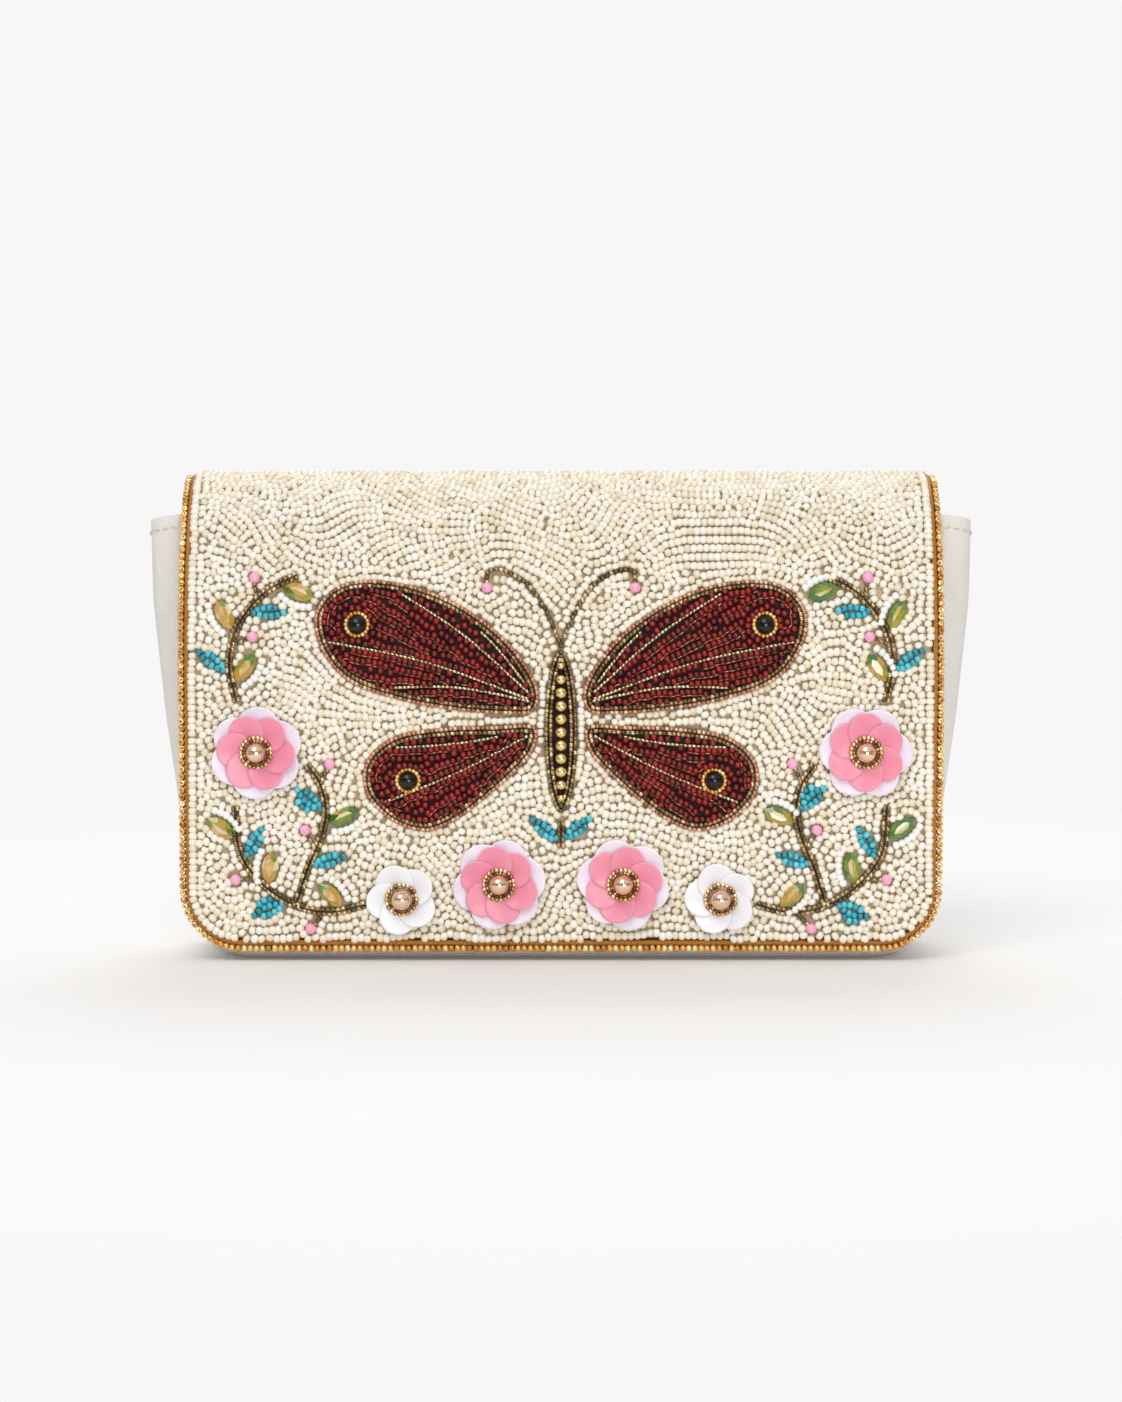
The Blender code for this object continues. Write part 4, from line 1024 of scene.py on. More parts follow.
def lines_on(name: str, face: Face, lines: Iterable[tuple[Points, float, bool]]) -> Piece:
    """Lines on a face that carry beads.

    Args:
        name: The piece's name.
        face: The face that they lie on.
        lines: Each line's (u, s) points, its height off the face and whether it is closed.

    Returns:
        An object of loose edges with the face's outward direction on each point.
    """
    points, ups, edges = [], [], []
    first = 0
    for line, height, closed in lines:
        line = np.asarray(line, float)
        points.append(face.lay(line[:, 0], line[:, 1], height))
        ups.append(face.up(line[:, 1]))
        count = len(line)
        edges += [(first + k, first + (k + 1) % count) for k in range(count if closed else count - 1)]
        first += count
    made = to_object(name, np.concatenate(points), [], edges=edges)
    give(made, "up", np.concatenate(ups))
    return made


def points_on(name: str, face: Face, places: Points, along: Points, height: Any) -> Piece:
    """Points on a face, each with the way its bead lies.

    Args:
        name: The piece's name.
        face: The face that they lie on.
        places: (u, s) of each bead.
        along: (u, s) direction of each bead's hole.
        height: Height of the beads' middles off the face.

    Returns:
        An object of loose points.
    """
    here = face.lay(places[:, 0], places[:, 1], height)
    ahead = face.lay(places[:, 0] + along[:, 0] * 0.2 * MM, places[:, 1] + along[:, 1] * 0.2 * MM, height)
    made = to_object(name, here, [])
    give(made, "along", ahead - here)
    give(made, "up", face.up(places[:, 1]))
    return made


# How rows of beads fill a field

class Taken:
    """Places that beads already hold, kept in square cells so that neighbours are found fast."""

    def __init__(self, cell: float) -> None:
        """Starts with no places.

        Args:
            cell: Side of a cell, at least the largest distance asked for.
        """
        self.cell = cell
        self.cells: dict[tuple[int, int], list[tuple[float, float]]] = {}

    def add(self, u: float, s: float) -> None:
        """Takes a place."""
        key = (int(u // self.cell), int(s // self.cell))
        self.cells.setdefault(key, []).append((u, s))

    def free(self, u: float, s: float, reach: float) -> bool:
        """Whether no place within reach is taken.

        Args:
            u: Place across.
            s: Run.
            reach: The distance looked over.

        Returns:
            True where it is free.
        """
        i, j = int(u // self.cell), int(s // self.cell)
        limit = reach * reach
        for a in (i - 1, i, i + 1):
            for b in (j - 1, j, j + 1):
                for u0, s0 in self.cells.get((a, b), ()):
                    if (u - u0) ** 2 + (s - s0) ** 2 < limit:
                        return False
        return True


@dataclass
class Field:
    """A part of the flap that rows of beads fill, on a grid of its room and the rows' way."""

    low: tuple[float, float]
    high: tuple[float, float]
    cell: float = 0.75 * MM

    def __post_init__(self) -> None:
        """Lays out the grid."""
        self.u = np.arange(self.low[0], self.high[0], self.cell)
        self.s = np.arange(self.low[1], self.high[1], self.cell)
        self.grid_u, self.grid_s = np.meshgrid(self.u, self.s, indexing="ij")
        self.room = np.full(self.grid_u.shape, 1.0)
        self.way = np.zeros(self.grid_u.shape)

    def keep_off(self, places: Points, radii: Points) -> None:
        """Lowers the room near round obstacles.

        Args:
            places: (u, s) of each obstacle.
            radii: Radius of each obstacle.
        """
        flat_u, flat_s, room = self.grid_u.ravel(), self.grid_s.ravel(), self.room.ravel()
        for first in range(0, len(places), 100):
            part, size = places[first:first + 100], radii[first:first + 100]
            off = np.hypot(flat_u[:, None] - part[:, 0], flat_s[:, None] - part[:, 1]) - size
            room = np.minimum(room, off.min(axis=1))
        self.room = room.reshape(self.grid_u.shape)

    def set_way(self, angle: Points, follow: float) -> None:
        """Sets the rows' way: a given angle, turned to follow the nearest edge close to it.

        Args:
            angle: The angle away from all edges.
            follow: Distance over which rows follow an edge.
        """
        slope_u, slope_s = np.gradient(self.room, self.cell)
        edge = np.arctan2(slope_s, slope_u) + math.pi / 2
        weight = np.exp(-(np.maximum(self.room, 0.0) / follow) ** 2)
        self.way = 0.5 * np.arctan2((1 - weight) * np.sin(2 * angle) + weight * np.sin(2 * edge),
                                    (1 - weight) * np.cos(2 * angle) + weight * np.cos(2 * edge))

    def at(self, u: float, s: float) -> tuple[float, float]:
        """The room and the rows' way at a place.

        Args:
            u: Place across.
            s: Run.

        Returns:
            The room, which is negative outside the grid, and the way as an angle.
        """
        i, j = int(round((u - self.low[0]) / self.cell)), int(round((s - self.low[1]) / self.cell))
        if not (0 <= i < len(self.u) and 0 <= j < len(self.s)):
            return -1.0, 0.0
        return float(self.room[i, j]), float(self.way[i, j])

    def rows(self, pitch: float, spacing: float, margin: float, seeds: Iterable[tuple[float, float]],
             fewest: int = 3, closeness: float = 0.86, longest: int = 200) -> tuple[list[Points], Taken]:
        """Grows evenly spaced rows of beads, each new row beside the last ones.

        Args:
            pitch: Distance from bead to bead in a row.
            spacing: Distance from row to row.
            margin: Room that a bead's middle needs.
            seeds: Places to start from.
            fewest: Least number of beads in a row.
            closeness: Share of the spacing at which a row stops growing.
            longest: Most beads grown each way.

        Returns:
            The rows, and the places that they take.
        """
        taken = Taken(spacing)
        queue = deque(seeds)
        made: list[Points] = []
        while queue:
            start = queue.popleft()
            room, angle = self.at(*start)
            if room < margin or not taken.free(*start, 0.93 * spacing):
                continue
            arms = []
            for turn in (0.0, math.pi):
                u, s = start
                heading = angle + turn
                arm: list[tuple[float, float]] = []
                for _ in range(longest):
                    middle = self.at(u + 0.5 * pitch * math.cos(heading), s + 0.5 * pitch * math.sin(heading))[1]
                    middle += math.pi if math.cos(middle - heading) < 0 else 0.0
                    u, s = u + pitch * math.cos(middle), s + pitch * math.sin(middle)
                    if self.at(u, s)[0] < margin or not taken.free(u, s, closeness * spacing):
                        break
                    if any((u - a) ** 2 + (s - b) ** 2 < (0.8 * spacing) ** 2 for a, b in arm[:-2]):
                        break
                    arm.append((u, s))
                    heading = middle
                arms.append(arm)
            row = [*reversed(arms[1]), start, *arms[0]]
            if len(row) < fewest:
                continue
            row_points = np.array(row)
            for u, s in row:
                taken.add(u, s)
            made.append(row_points)
            sides = sides_of(row_points, False)
            for point, side in zip(row_points, sides):
                queue.append(tuple(point + spacing * side))
                queue.append(tuple(point - spacing * side))
        return made, taken

    def odd_beads(self, taken: Taken, reach: float, margin: float, rng: np.random.Generator) -> Points:
        """Single beads for the holes that the rows leave.

        Args:
            taken: The places already held.
            reach: Least distance from any other bead.
            margin: Room that a bead's middle needs.
            rng: The seeded random source.

        Returns:
            (u, s) of each odd bead.
        """
        candidates = np.argwhere(self.room > margin)
        rng.shuffle(candidates)
        made = []
        for i, j in candidates:
            u, s = float(self.u[i]), float(self.s[j])
            if taken.free(u, s, reach):
                taken.add(u, s)
                made.append((u, s))
        return np.array(made).reshape(-1, 2)


def even_out(ground: Field, places: Points, along: Points, pitch: float, spacing: float, margin: float,
             rounds: int = 10, ease: float = 0.25) -> Points:
    """Moves beads off their neighbours and into the gaps beside them, as a tight stitch pulls them.

    Args:
        ground: The field that they fill.
        places: (u, s) of each bead.
        along: (u, s) way of each bead's hole.
        pitch: Distance from bead to bead in a row.
        spacing: Distance from row to row.
        margin: Room that a bead's middle needs.
        rounds: How often all beads move.
        ease: Share of a push that moves a bead along its row.

    Returns:
        The new places.
    """
    near = kdtree.KDTree(len(places))
    for k, (u, s) in enumerate(places):
        near.insert((u, s, 0.0), k)
    near.balance()
    pairs = [(k, other) for k, (u, s) in enumerate(places)
             for _, other, _ in near.find_range((u, s, 0.0), 1.8 * spacing) if other > k]
    first, second = np.array(pairs).T
    across = np.stack([-along[:, 1], along[:, 0]], axis=1)
    places = places.copy()
    for _ in range(rounds):
        gap = places[second] - places[first]
        share = np.zeros(len(gap))
        for bead in (first, second):
            share += ((gap * along[bead]).sum(axis=1) / pitch) ** 2 + ((gap * across[bead]).sum(axis=1) / spacing) ** 2
        push = 0.16 * spacing * np.maximum(0.0, 1.25 - np.sqrt(share / 2))
        push = gap / np.maximum(np.linalg.norm(gap, axis=1), 1e-6)[:, None] * push[:, None]
        move = np.zeros_like(places)
        np.add.at(move, first, -push)
        np.add.at(move, second, push)
        # The thread holds a bead in its row, so it gives mostly sideways
        aside, ahead = ((move * way).sum(axis=1)[:, None] for way in (across, along))
        moved = places + aside * across + ease * ahead * along
        i = np.clip(np.rint((moved[:, 0] - ground.low[0]) / ground.cell).astype(int), 0, len(ground.u) - 1)
        j = np.clip(np.rint((moved[:, 1] - ground.low[1]) / ground.cell).astype(int), 0, len(ground.s) - 1)
        places = np.where((ground.room[i, j] >= margin)[:, None], moved, places)
    return places


# The bag's sub-assemblies

@dataclass
class Assembly:
    """A sub-assembly of the bag, with the trees that string, set and sew its beads and stitches."""

    beads: BeadWork


@dataclass
class Pouch(Assembly):
    """The leather pouch: panels, gusset, crease roll, boards, satin lining and the snap's socket."""

    half_width: float = 0.112
    turned_edge: float = 0.7 * MM
    roll: float = 3.2 * MM
    corner_radius: float = 0.0175
    front_run: float = 0.131
    back_run: float = 0.13965
    gusset_run: float = 0.1315
    gusset_back_run: float = 0.1265
    strip_width: float = 0.0335
    rim_lift: tuple[float, ...] = (0.0, 0.0, 8.7 * MM, 5.6 * MM, 0.45 * MM, 0.0)
    lining_lift: tuple[float, ...] = (0.0, 0.0, 8.7 * MM, 5.6 * MM, 0.45 * MM, 12.5 * MM)
    bulge: float = 0.0128
    bulge_start: float = 0.018
    bulge_ease: float = 1.5
    leather: float = 1.2 * MM
    panel_face: float = -8.0 * MM
    crease_radius: float = 1.9 * MM
    crease_y: float = 0.0102
    crease_z: float = 0.14185
    crease_half: float = 0.1058
    hem_depth: float = 4.3 * MM
    hem_rise: float = 0.55 * MM
    stitch_pitch: float = 3.2 * MM

    def build(self) -> None:
        """Makes every piece of the pouch."""
        self.panels()
        self.gusset()
        self.crease()
        self.lining()
        for node in ("front_board", "back_board", "base_board"):
            dress(node, GREYBOARD)
        for node in ("snap_socket", "snap_socket_washer"):
            dress(node, NICKEL)

    def panels(self) -> None:
        """Front and back panels, soft at their edges, with a line of stitches round each."""
        def wave(u: Points, s: Points) -> Points:
            """The leather's slow, shallow unevenness."""
            return 0.12 * MM * np.sin(u / 0.017 + 1.3) * np.sin(s / 0.013 + 0.4)

        def rolled(u: Points, s: Points) -> Points:
            """The soft roll where the front panel turns under.

            Args:
                u: Places across.
                s: Runs up the panel.

            Returns:
                Heights off the plain panel.
            """
            radius = self.corner_radius
            beyond = np.hypot(np.maximum(radius - self.half_width + np.abs(u), 0.0),
                              np.maximum(radius - s + self.turned_edge, 0.0))
            fade = np.clip(1 - s / 0.03, 0.0, 1.0)
            return wave(u, s) + self.roll * fade * np.exp(-((radius - beyond - 1.5 * MM) / (1.3 * MM)) ** 2)

        middle = self.panel_face - self.leather / 2
        front = SoftPlate(FLAP_FACE, self.half_width, self.turned_edge, self.front_run, self.corner_radius, middle,
                          self.leather)
        on_body(front.build("front_panel_leather", CALF, rolled), "pouch", "leather", "front_panel")
        back = SoftPlate(BACK_FACE, self.half_width, self.turned_edge, self.back_run, self.corner_radius,
                         -self.leather / 2, self.leather)
        on_body(back.build("back_panel_leather", CALF, wave), "pouch", "leather", "back_panel")
        for name, face, top, height, inward in (
                ("front", FLAP_FACE, self.front_run, self.panel_face + 0.12 * MM, 5.4 * MM),
                ("back", BACK_FACE, self.back_run, 0.12 * MM, 3.2 * MM)):
            line = edge_line(inward, self.half_width, 0.0, self.corner_radius, top - inward)
            made = lines_on(name + "_panel_stitches", face, [(line, height, False)])
            self.beads.run(made, True, "stitch", THREAD, 2.5 * MM, 0.62 * MM, 0.5 * MM, self.stitch_pitch, 0.04, 0.05)
            on_body(made, "pouch", "leather")

    def strip(self, along: Points, across: Points, inward: Points, top: float, front_n: float, back_n: float,
              lift: Optional[Sequence[float]] = None) -> Points:
        """Points of the strip between the panels.

        Args:
            along: Run along the strip from its top on the left, over the base, to its top on the right.
            across: 0 at the front panel to 1 at the back panel.
            inward: Distance inside the strip's outer side.
            top: Run of the strip's top on the front panel.
            front_n: Height of its front edge off the flap's cloth.
            back_n: Height of its back edge off the back panel.
            lift: How far the rim stands above a straight line from front to back, at six places across.

        Returns:
            Points in the model's frame.
        """
        half, radius = self.half_width, self.corner_radius
        straight, bend, base = top - radius, math.pi * radius / 2, 2 * (half - radius)
        whole = 2 * (straight + bend) + base
        right = along > whole / 2
        t = np.where(right, whole - along, along)
        turn = np.clip((t - straight) / radius, 0.0, math.pi / 2)
        out_u, out_s = -np.cos(turn), -np.sin(turn)
        u = radius - half + radius * out_u + np.maximum(t - straight - bend, 0.0)
        s = radius + radius * out_s + np.maximum(straight - t, 0.0)
        u, s = u - inward * out_u, s - inward * out_s
        rise = (self.gusset_back_run - radius) / (self.gusset_run - radius)
        front = FLAP_FACE.lay(u, s, front_n)
        back = BACK_FACE.lay(u, s + np.maximum(0.0, s - radius) * (rise - 1), back_n)
        point = front + (back - front) * across[..., None]
        # The rim stands level towards the front and falls towards the back
        high = np.clip((s - 0.085) / (self.gusset_run - 0.085), 0.0, 1.0)
        rise = high ** 2 * np.interp(across, (0.0, 0.02, 0.06, 0.5, 0.96, 1.0), lift or self.rim_lift)
        point[..., 2] += rise
        point[..., 1] -= rise * across * math.tan(BACK_FACE.lean)
        climb = np.clip((s - self.bulge_start) / (self.gusset_run - self.bulge_start), 0.0, 1.0)
        bulge = -self.bulge * (1 - (1 - climb) ** self.bulge_ease)
        v = 2 * across - 1
        point[..., 0] += bulge * (1 - v * v)
        point[..., 0] = np.where(right, -point[..., 0], point[..., 0])
        return point

    def gusset(self) -> None:
        """The bowed strip at each side and under the base, with a folded and stitched hem at its tops."""
        front_n, back_n = self.panel_face - self.leather - GAP, -self.leather - GAP
        straight, bend = self.gusset_run - self.corner_radius, math.pi * self.corner_radius / 2
        whole = 2 * (straight + bend + self.half_width - self.corner_radius)
        rim = np.array([0.0, 0.05, 0.22, 0.6, 1.0]) * self.leather / 2
        hem = np.array([self.hem_depth - 0.5 * MM, self.hem_depth - 0.2 * MM, self.hem_depth + 0.15 * MM])
        end = np.concatenate([rim, [1.6 * MM, 2.7 * MM], hem])
        middle = np.arange(end[-1] + 1.5 * MM, whole - end[-1] - 1.0 * MM, 2.4 * MM)
        along = np.concatenate([end, middle, whole - end[::-1]])
        width = self.strip_width
        lip = rim / width
        across = np.concatenate([lip, np.linspace(lip[-1], 1 - lip[-1], 22)[1:-1], 1 - lip[::-1]])
        grid_t, grid_v = np.meshgrid(along, across, indexing="ij")
        from_end = np.minimum(grid_t, whole - grid_t)
        from_side = np.minimum(grid_v, 1 - grid_v) * width
        reach = np.clip(np.minimum(from_end, from_side) / (self.leather / 2), 0.0, 1.0)
        half = self.leather / 2 * np.sqrt(1 - (1 - reach) ** 2)
        # Soft dents where the strip has been pinched in at the sides
        climb = np.clip(1 - from_end / 0.10, 0.0, 1.0)
        dent = 0.45 * MM * climb * np.sin(from_end / 0.011 + 2.0 * grid_v) * np.sin(math.pi * grid_v)
        folded = self.hem_rise * np.clip((self.hem_depth - from_end) / (0.35 * MM), 0.0, 1.0) * (reach > 0.99)
        outer, inner = (self.strip(grid_t, grid_v, inward, self.gusset_run, front_n, back_n) for inward in
                        (self.leather / 2 - half + np.abs(dent), self.leather / 2 + half + np.abs(dent) + folded))
        flat = np.stack([grid_v * width, grid_t], axis=-1)
        on_body(two_sided("gusset_leather", (outer, inner), flat, CALF, False), "pouch", "leather", "gusset")
        for hand, place in (("left", self.hem_depth - 0.6 * MM), ("right", whole - self.hem_depth + 0.6 * MM)):
            count = 40
            v = np.linspace(0.05, 0.95, count)
            line = self.strip(np.full_like(v, place), v, np.full_like(v, -0.02 * MM), self.gusset_run, front_n, back_n)
            made = to_object("gusset_stitches_" + hand, line, [], edges=[(k, k + 1) for k in range(count - 1)])
            give(made, "up", np.tile([HANDS[hand], 0.0, 0.0], (count, 1)))
            self.beads.run(made, True, "stitch", THREAD, 2.3 * MM, 0.6 * MM, 0.45 * MM, 3.1 * MM, 0.04, 0.05)
            on_body(made, "pouch", "leather")

    def crease(self) -> None:
        """The leather roll at the crease, puckered a little where it bends, with rounded ends."""
        rings = []
        reach = self.crease_half
        end = np.array([0.0, 0.15, 0.6]) * MM - reach
        for x in np.concatenate([end, np.linspace(-reach + 1.5 * MM, reach - 1.5 * MM, 140), -end[::-1]]):
            near = np.clip((reach - abs(x)) / (1.2 * MM), 0.0, 1.0)
            radius = self.crease_radius * (0.25 + 0.75 * math.sqrt(1 - (1 - near) ** 2)) * (
                0.975 + 0.02 * math.sin(x / 0.0021) + 0.005 * math.sin(x / 0.0009))
            turns = np.linspace(0.0, 2 * math.pi, 20, endpoint=False)
            rings.append(np.stack([np.full_like(turns, x), self.crease_y + radius * np.cos(turns),
                                   self.crease_z + radius * np.sin(turns)], axis=1))
        on_body(tube("crease_leather", rings, CALF), "pouch", "leather", "crease_roll")

    def lining(self) -> None:
        """The satin sack, which hangs in soft folds inside the boards."""
        low = 3.3 * MM
        wall = 0.6 * MM
        front_n = -11.0 * MM
        back_n = -3.0 * MM
        top = self.gusset_run - 3.0 * MM
        straight, bend = top - self.corner_radius, math.pi * self.corner_radius / 2
        half_way = straight + bend + self.half_width - self.corner_radius
        whole = 2 * half_way
        levels = np.concatenate([np.linspace(0.0, straight, 34), straight + np.linspace(0.0, bend, 9)[1:],
                                 [half_way - 0.06, half_way - 0.025, half_way - 0.003]])
        v = np.linspace(0.0, 1.0, 26)
        rings = []
        for layer in (wall, 0.0):
            stack = []
            for t in levels:
                fold = 0.45 * MM * np.clip(t / 0.03, 0.0, 1.0)
                ripple = fold * (1 + np.sin(2 * math.pi * 3 * v + t / 0.016)) * np.sin(math.pi * v)
                left = self.strip(np.full_like(v, t), v, low + layer + ripple, top, front_n - layer, back_n - layer,
                                  self.lining_lift)
                right = self.strip(np.full_like(v, whole - t), v, low + layer + ripple, top, front_n - layer,
                                   back_n - layer, self.lining_lift)
                stack.append(np.concatenate([left, right[::-1]]))
            rings += stack[::-1] if layer else stack
        # The sack is one skin from its inner floor, up over the mouth, and down outside
        made = tube("satin_lining_sack", rings, LINING_SATIN)
        on_body(made, "pouch", "satin_lining", "lining")


def dress(node: str, finish: Finish) -> None:
    """Gives a node that stays its real finish."""
    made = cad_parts[node]
    made.data.materials.clear()
    made.data.materials.append(finish.material())
    LOG.info("%s: dressed in %s", node, finish.name)


@dataclass
class Flap(Assembly):
    """The flap's sheets, its satin binding, its gold bead edge and its half of the snap."""

    cloth_half: float = 0.1098
    cloth_bottom: float = 0.0070
    cloth_radius: float = 0.0144
    top: float = 0.15893
    lining_middle: float = -2.8 * MM
    binding_inset: float = 2.8 * MM
    binding_half: float = 0.76 * MM
    binding_low: float = -3.3 * MM
    binding_high: float = 0.95 * MM
    edge_bead: float = 2.0 * MM
    edge_pitch: float = 2.04 * MM

    def build(self) -> None:
        """Makes the flap's plain pieces."""
        cloth = SoftPlate(FLAP_FACE, self.cloth_half, self.cloth_bottom, self.top, self.cloth_radius, -0.1 * MM,
                          0.5 * MM)
        made = on_body(cloth.build("linen_ground", LINEN), "flap", "ivory_beads", "bead_field")
        lining = SoftPlate(FLAP_FACE, self.cloth_half, self.cloth_bottom, self.top, self.cloth_radius,
                           self.lining_middle, 1.0 * MM)
        on_body(lining.build("flap_lining_leather", CALF), "flap", "leather", "flap_lining")
        seam = edge_line(3.0 * MM, self.cloth_half, self.cloth_bottom, self.cloth_radius, self.top - 3.0 * MM)
        made = lines_on("flap_lining_stitches", FLAP_FACE, [(seam, -3.38 * MM, False)])
        self.beads.run(made, True, "stitch", THREAD, 2.4 * MM, 0.55 * MM, 0.4 * MM, 3.1 * MM, 0.04, 0.05)
        on_body(made, "flap", "leather")
        dress("flap_board", GREYBOARD)
        for node in ("snap_stud", "snap_stud_washer"):
            dress(node, NICKEL)
        self.binding()
        self.edge()

    def binding(self) -> None:
        """The amber satin that wraps the raw edge, with its sides softly rounded."""
        line = spaced(edge_line(self.binding_inset), 1.5 * MM)
        sides = sides_of(line, False)
        middle, half = (self.binding_low + self.binding_high) / 2, (self.binding_high - self.binding_low) / 2
        turns = np.linspace(0.0, 2 * math.pi, 18, endpoint=False)
        across = self.binding_half * np.sign(np.cos(turns)) * np.abs(np.cos(turns)) ** 0.45
        height = middle + half * np.sign(np.sin(turns)) * np.abs(np.sin(turns)) ** 0.3
        rings = [FLAP_FACE.lay(point[0] + across * side[0], point[1] + across * side[1], height)
                 for point, side in zip(line, sides)]
        on_body(tube("satin_binding", rings, AMBER_SATIN), "flap", "amber_binding", "edge_binding")

    def edge(self) -> None:
        """Two rows of gold beads: one on the edge, and one behind it that shows in the gaps.

        At the sides the holes look forward, and along the bottom the beads lie in line.
        """
        line = spaced(edge_line(self.edge_bead / 2), 0.5 * MM)
        low = np.flatnonzero(line[:, 1] < line[:, 1].min() + 2.0 * MM)
        left, right = line[:low[0] + 1], line[low[-1]:]
        made = lines_on("gold_side_beads", FLAP_FACE, [(left, -0.1 * MM, False), (right, -0.1 * MM, False)])
        self.beads.run(made, True, "edge", GOLD, 1.55 * MM, self.edge_bead, pitch=self.edge_pitch, size_spread=0.07,
                       tilt=0.3, axis=Axis.OUTWARD, seed=4)
        on_body(made, "flap", "gold_beads", "edge_beads")
        bottom = line[low[0] + 3:low[-1] - 2]
        made = lines_on("gold_bottom_beads", FLAP_FACE, [(bottom, -0.05 * MM, False)])
        self.beads.run(made, True, "edge", GOLD, 1.66 * MM, self.edge_bead + 0.35 * MM,
                       pitch=self.edge_pitch - 0.22 * MM, size_spread=0.07, tilt=0.15, seed=6)
        on_body(made, "flap", "gold_beads")
        line = spaced(edge_line(self.edge_bead / 2 + 0.05 * MM), 0.5 * self.edge_pitch)[1:-1]
        made = lines_on("gold_edge_beads_behind", FLAP_FACE, [(line, -1.85 * MM, False)])
        self.beads.run(made, True, "edge", GOLD, 1.6 * MM, self.edge_bead, pitch=self.edge_pitch, size_spread=0.07,
                       tilt=0.2, axis=Axis.ALONG, seed=5)
        on_body(made, "flap", "gold_beads")


class PetalKind(Enum):
    """The three sorts of sequin petal."""

    UNDER = ("under_petals", LILAC_FILM, "lilac_sequins")
    PINK = ("petals", PINK_FILM, "pink_sequins")
    WHITE = ("petals", WHITE_FILM, "white_sequins")


@dataclass
class Flowers(Assembly):
    """The six sequin flowers: petals, a ring of gold beads and a pearl in each."""

    motif_base: float = 2.5 * MM
    pearl_radius: float = 3.0 * MM
    ring_radius: float = 4.5 * MM
    ring_bead: float = 1.3 * MM
    inner_ring_radius: float = 3.55 * MM
    inner_bead: float = 0.85 * MM
    ring_count: int = 22
    pink_petals: int = 6
    white_petals: int = 5
    film: float = 0.25 * MM
    pink: tuple[Place, ...] = ((0.0185, 0.0235), (0.0905, 0.0630))
    white: tuple[float, float] = (0.0475, 0.0190)

    def build(self) -> None:
        """Makes all six flowers."""
        inner_base = self.motif_base + 0.8 * MM
        for hand, side in HANDS.items():
            for place, (u, s) in zip(("lower", "upper"), self.pink):
                name = f"pink_flower_{place}_{hand}"
                turn = 0.3 * side + (0.2 if place == "upper" else 0.0)
                self.layer(name, PetalKind.UNDER, side * u, s, 13.9 * MM, 6.7 * MM, self.motif_base, 1.3 * MM,
                           turn + math.pi / 6, 0.3 * MM, side)
                self.layer(name, PetalKind.PINK, side * u, s, 11.7 * MM, 5.3 * MM, inner_base, 1.25 * MM, turn,
                           0.12 * MM, side)
                self.centre(name, side * u, s, inner_base + 0.5 * MM)
            name = "white_flower_" + hand
            self.layer(name, PetalKind.WHITE, side * self.white[0], self.white[1], 10.7 * MM, 5.6 * MM,
                       self.motif_base, 1.3 * MM, 0.5 * side, 0.1 * MM, side)
            self.centre(name, side * self.white[0], self.white[1], self.motif_base + 0.5 * MM)

    def layer(self, flower: str, kind: PetalKind, u: float, s: float, radius: float, petal: float, base: float,
              rise: float, turn: float, ruffle: float, side: int) -> None:
        """One layer of overlapping round petals, cupped towards the viewer.

        Args:
            flower: The flower's name.
            kind: Which sort of petal.
            u: The flower's place across.
            s: The flower's run.
            radius: Reach of the layer.
            petal: Radius of one petal.
            base: Height of the petals at the middle.
            rise: How much their rims rise.
            turn: Angle of the first petal.
            ruffle: Height of the waves in the rims.
            side: 1 on the right and -1 on the left, which overlaps the other way.
        """
        suffix, finish, slot = kind.value
        seed = int(abs(u) * 1e5 + s * 1e4) + (7 if side > 0 else 0)
        rng = np.random.default_rng(seed)
        around = np.linspace(0.0, 2 * math.pi, 28, endpoint=False)
        shares = np.array([0.0, 0.3, 0.55, 0.75, 0.9, 1.0])
        points, faces, reach, tint = [], [], [], []
        first = 0
        petals = self.white_petals if kind is PetalKind.WHITE else self.pink_petals
        for k in range(petals):
            angle = turn + side * 2 * math.pi * k / petals + rng.normal(0, 0.03)
            size = petal * (1 + rng.normal(0, 0.02))
            middle = radius - petal
            phase = rng.uniform(0, 6)
            shade = rng.uniform(0, 1)
            grid_a, grid_r = np.meshgrid(around, shares[1:], indexing="ij")
            along, across = middle + size * grid_r * np.cos(grid_a), size * grid_r * np.sin(grid_a)
            along, across = np.append(along.ravel(), middle), np.append(across.ravel(), 0.0)
            share = np.append(grid_r.ravel(), 0.0)
            wave = ruffle * np.append((np.sin(5 * grid_a + phase) * grid_r ** 3).ravel(), 0.0)
            far = np.hypot(along, across) / radius
            height = base + rise * far ** 2 + 0.075 * across * side + wave + 0.25 * MM * share ** 4
            place_u = u + along * math.cos(angle) - across * math.sin(angle)
            place_s = s + along * math.sin(angle) + across * math.cos(angle)
            for layer in (self.film, 0.0):
                points.append(FLAP_FACE.lay(place_u, place_s, height + layer * (1 - 0.6 * share ** 6)))
                reach.append(share)
                tint.append(np.full_like(share, shade))
            count, rings = len(around), len(shares) - 1
            for layer in (0, 1):
                start = first + layer * (count * rings + 1)
                centre = start + count * rings
                for i in range(count):
                    j = (i + 1) % count
                    faces.append((centre, start + i * rings, start + j * rings))
                    for m in range(rings - 1):
                        faces.append((start + i * rings + m, start + i * rings + m + 1, start + j * rings + m + 1,
                                      start + j * rings + m))
            for i in range(count):
                j = (i + 1) % count
                top, low = first + rings - 1, first + count * rings + 1 + rings - 1
                faces.append((top + i * rings, top + j * rings, low + j * rings, low + i * rings))
            first += 2 * (count * rings + 1)
        made = to_object(f"{flower}_{suffix}_film", np.concatenate(points), faces, finish)
        give(made, "reach", np.concatenate(reach))
        give(made, "tint", np.concatenate(tint))
        outward(made)
        on_body(made, "flap", slot, f"{flower}_{suffix}")

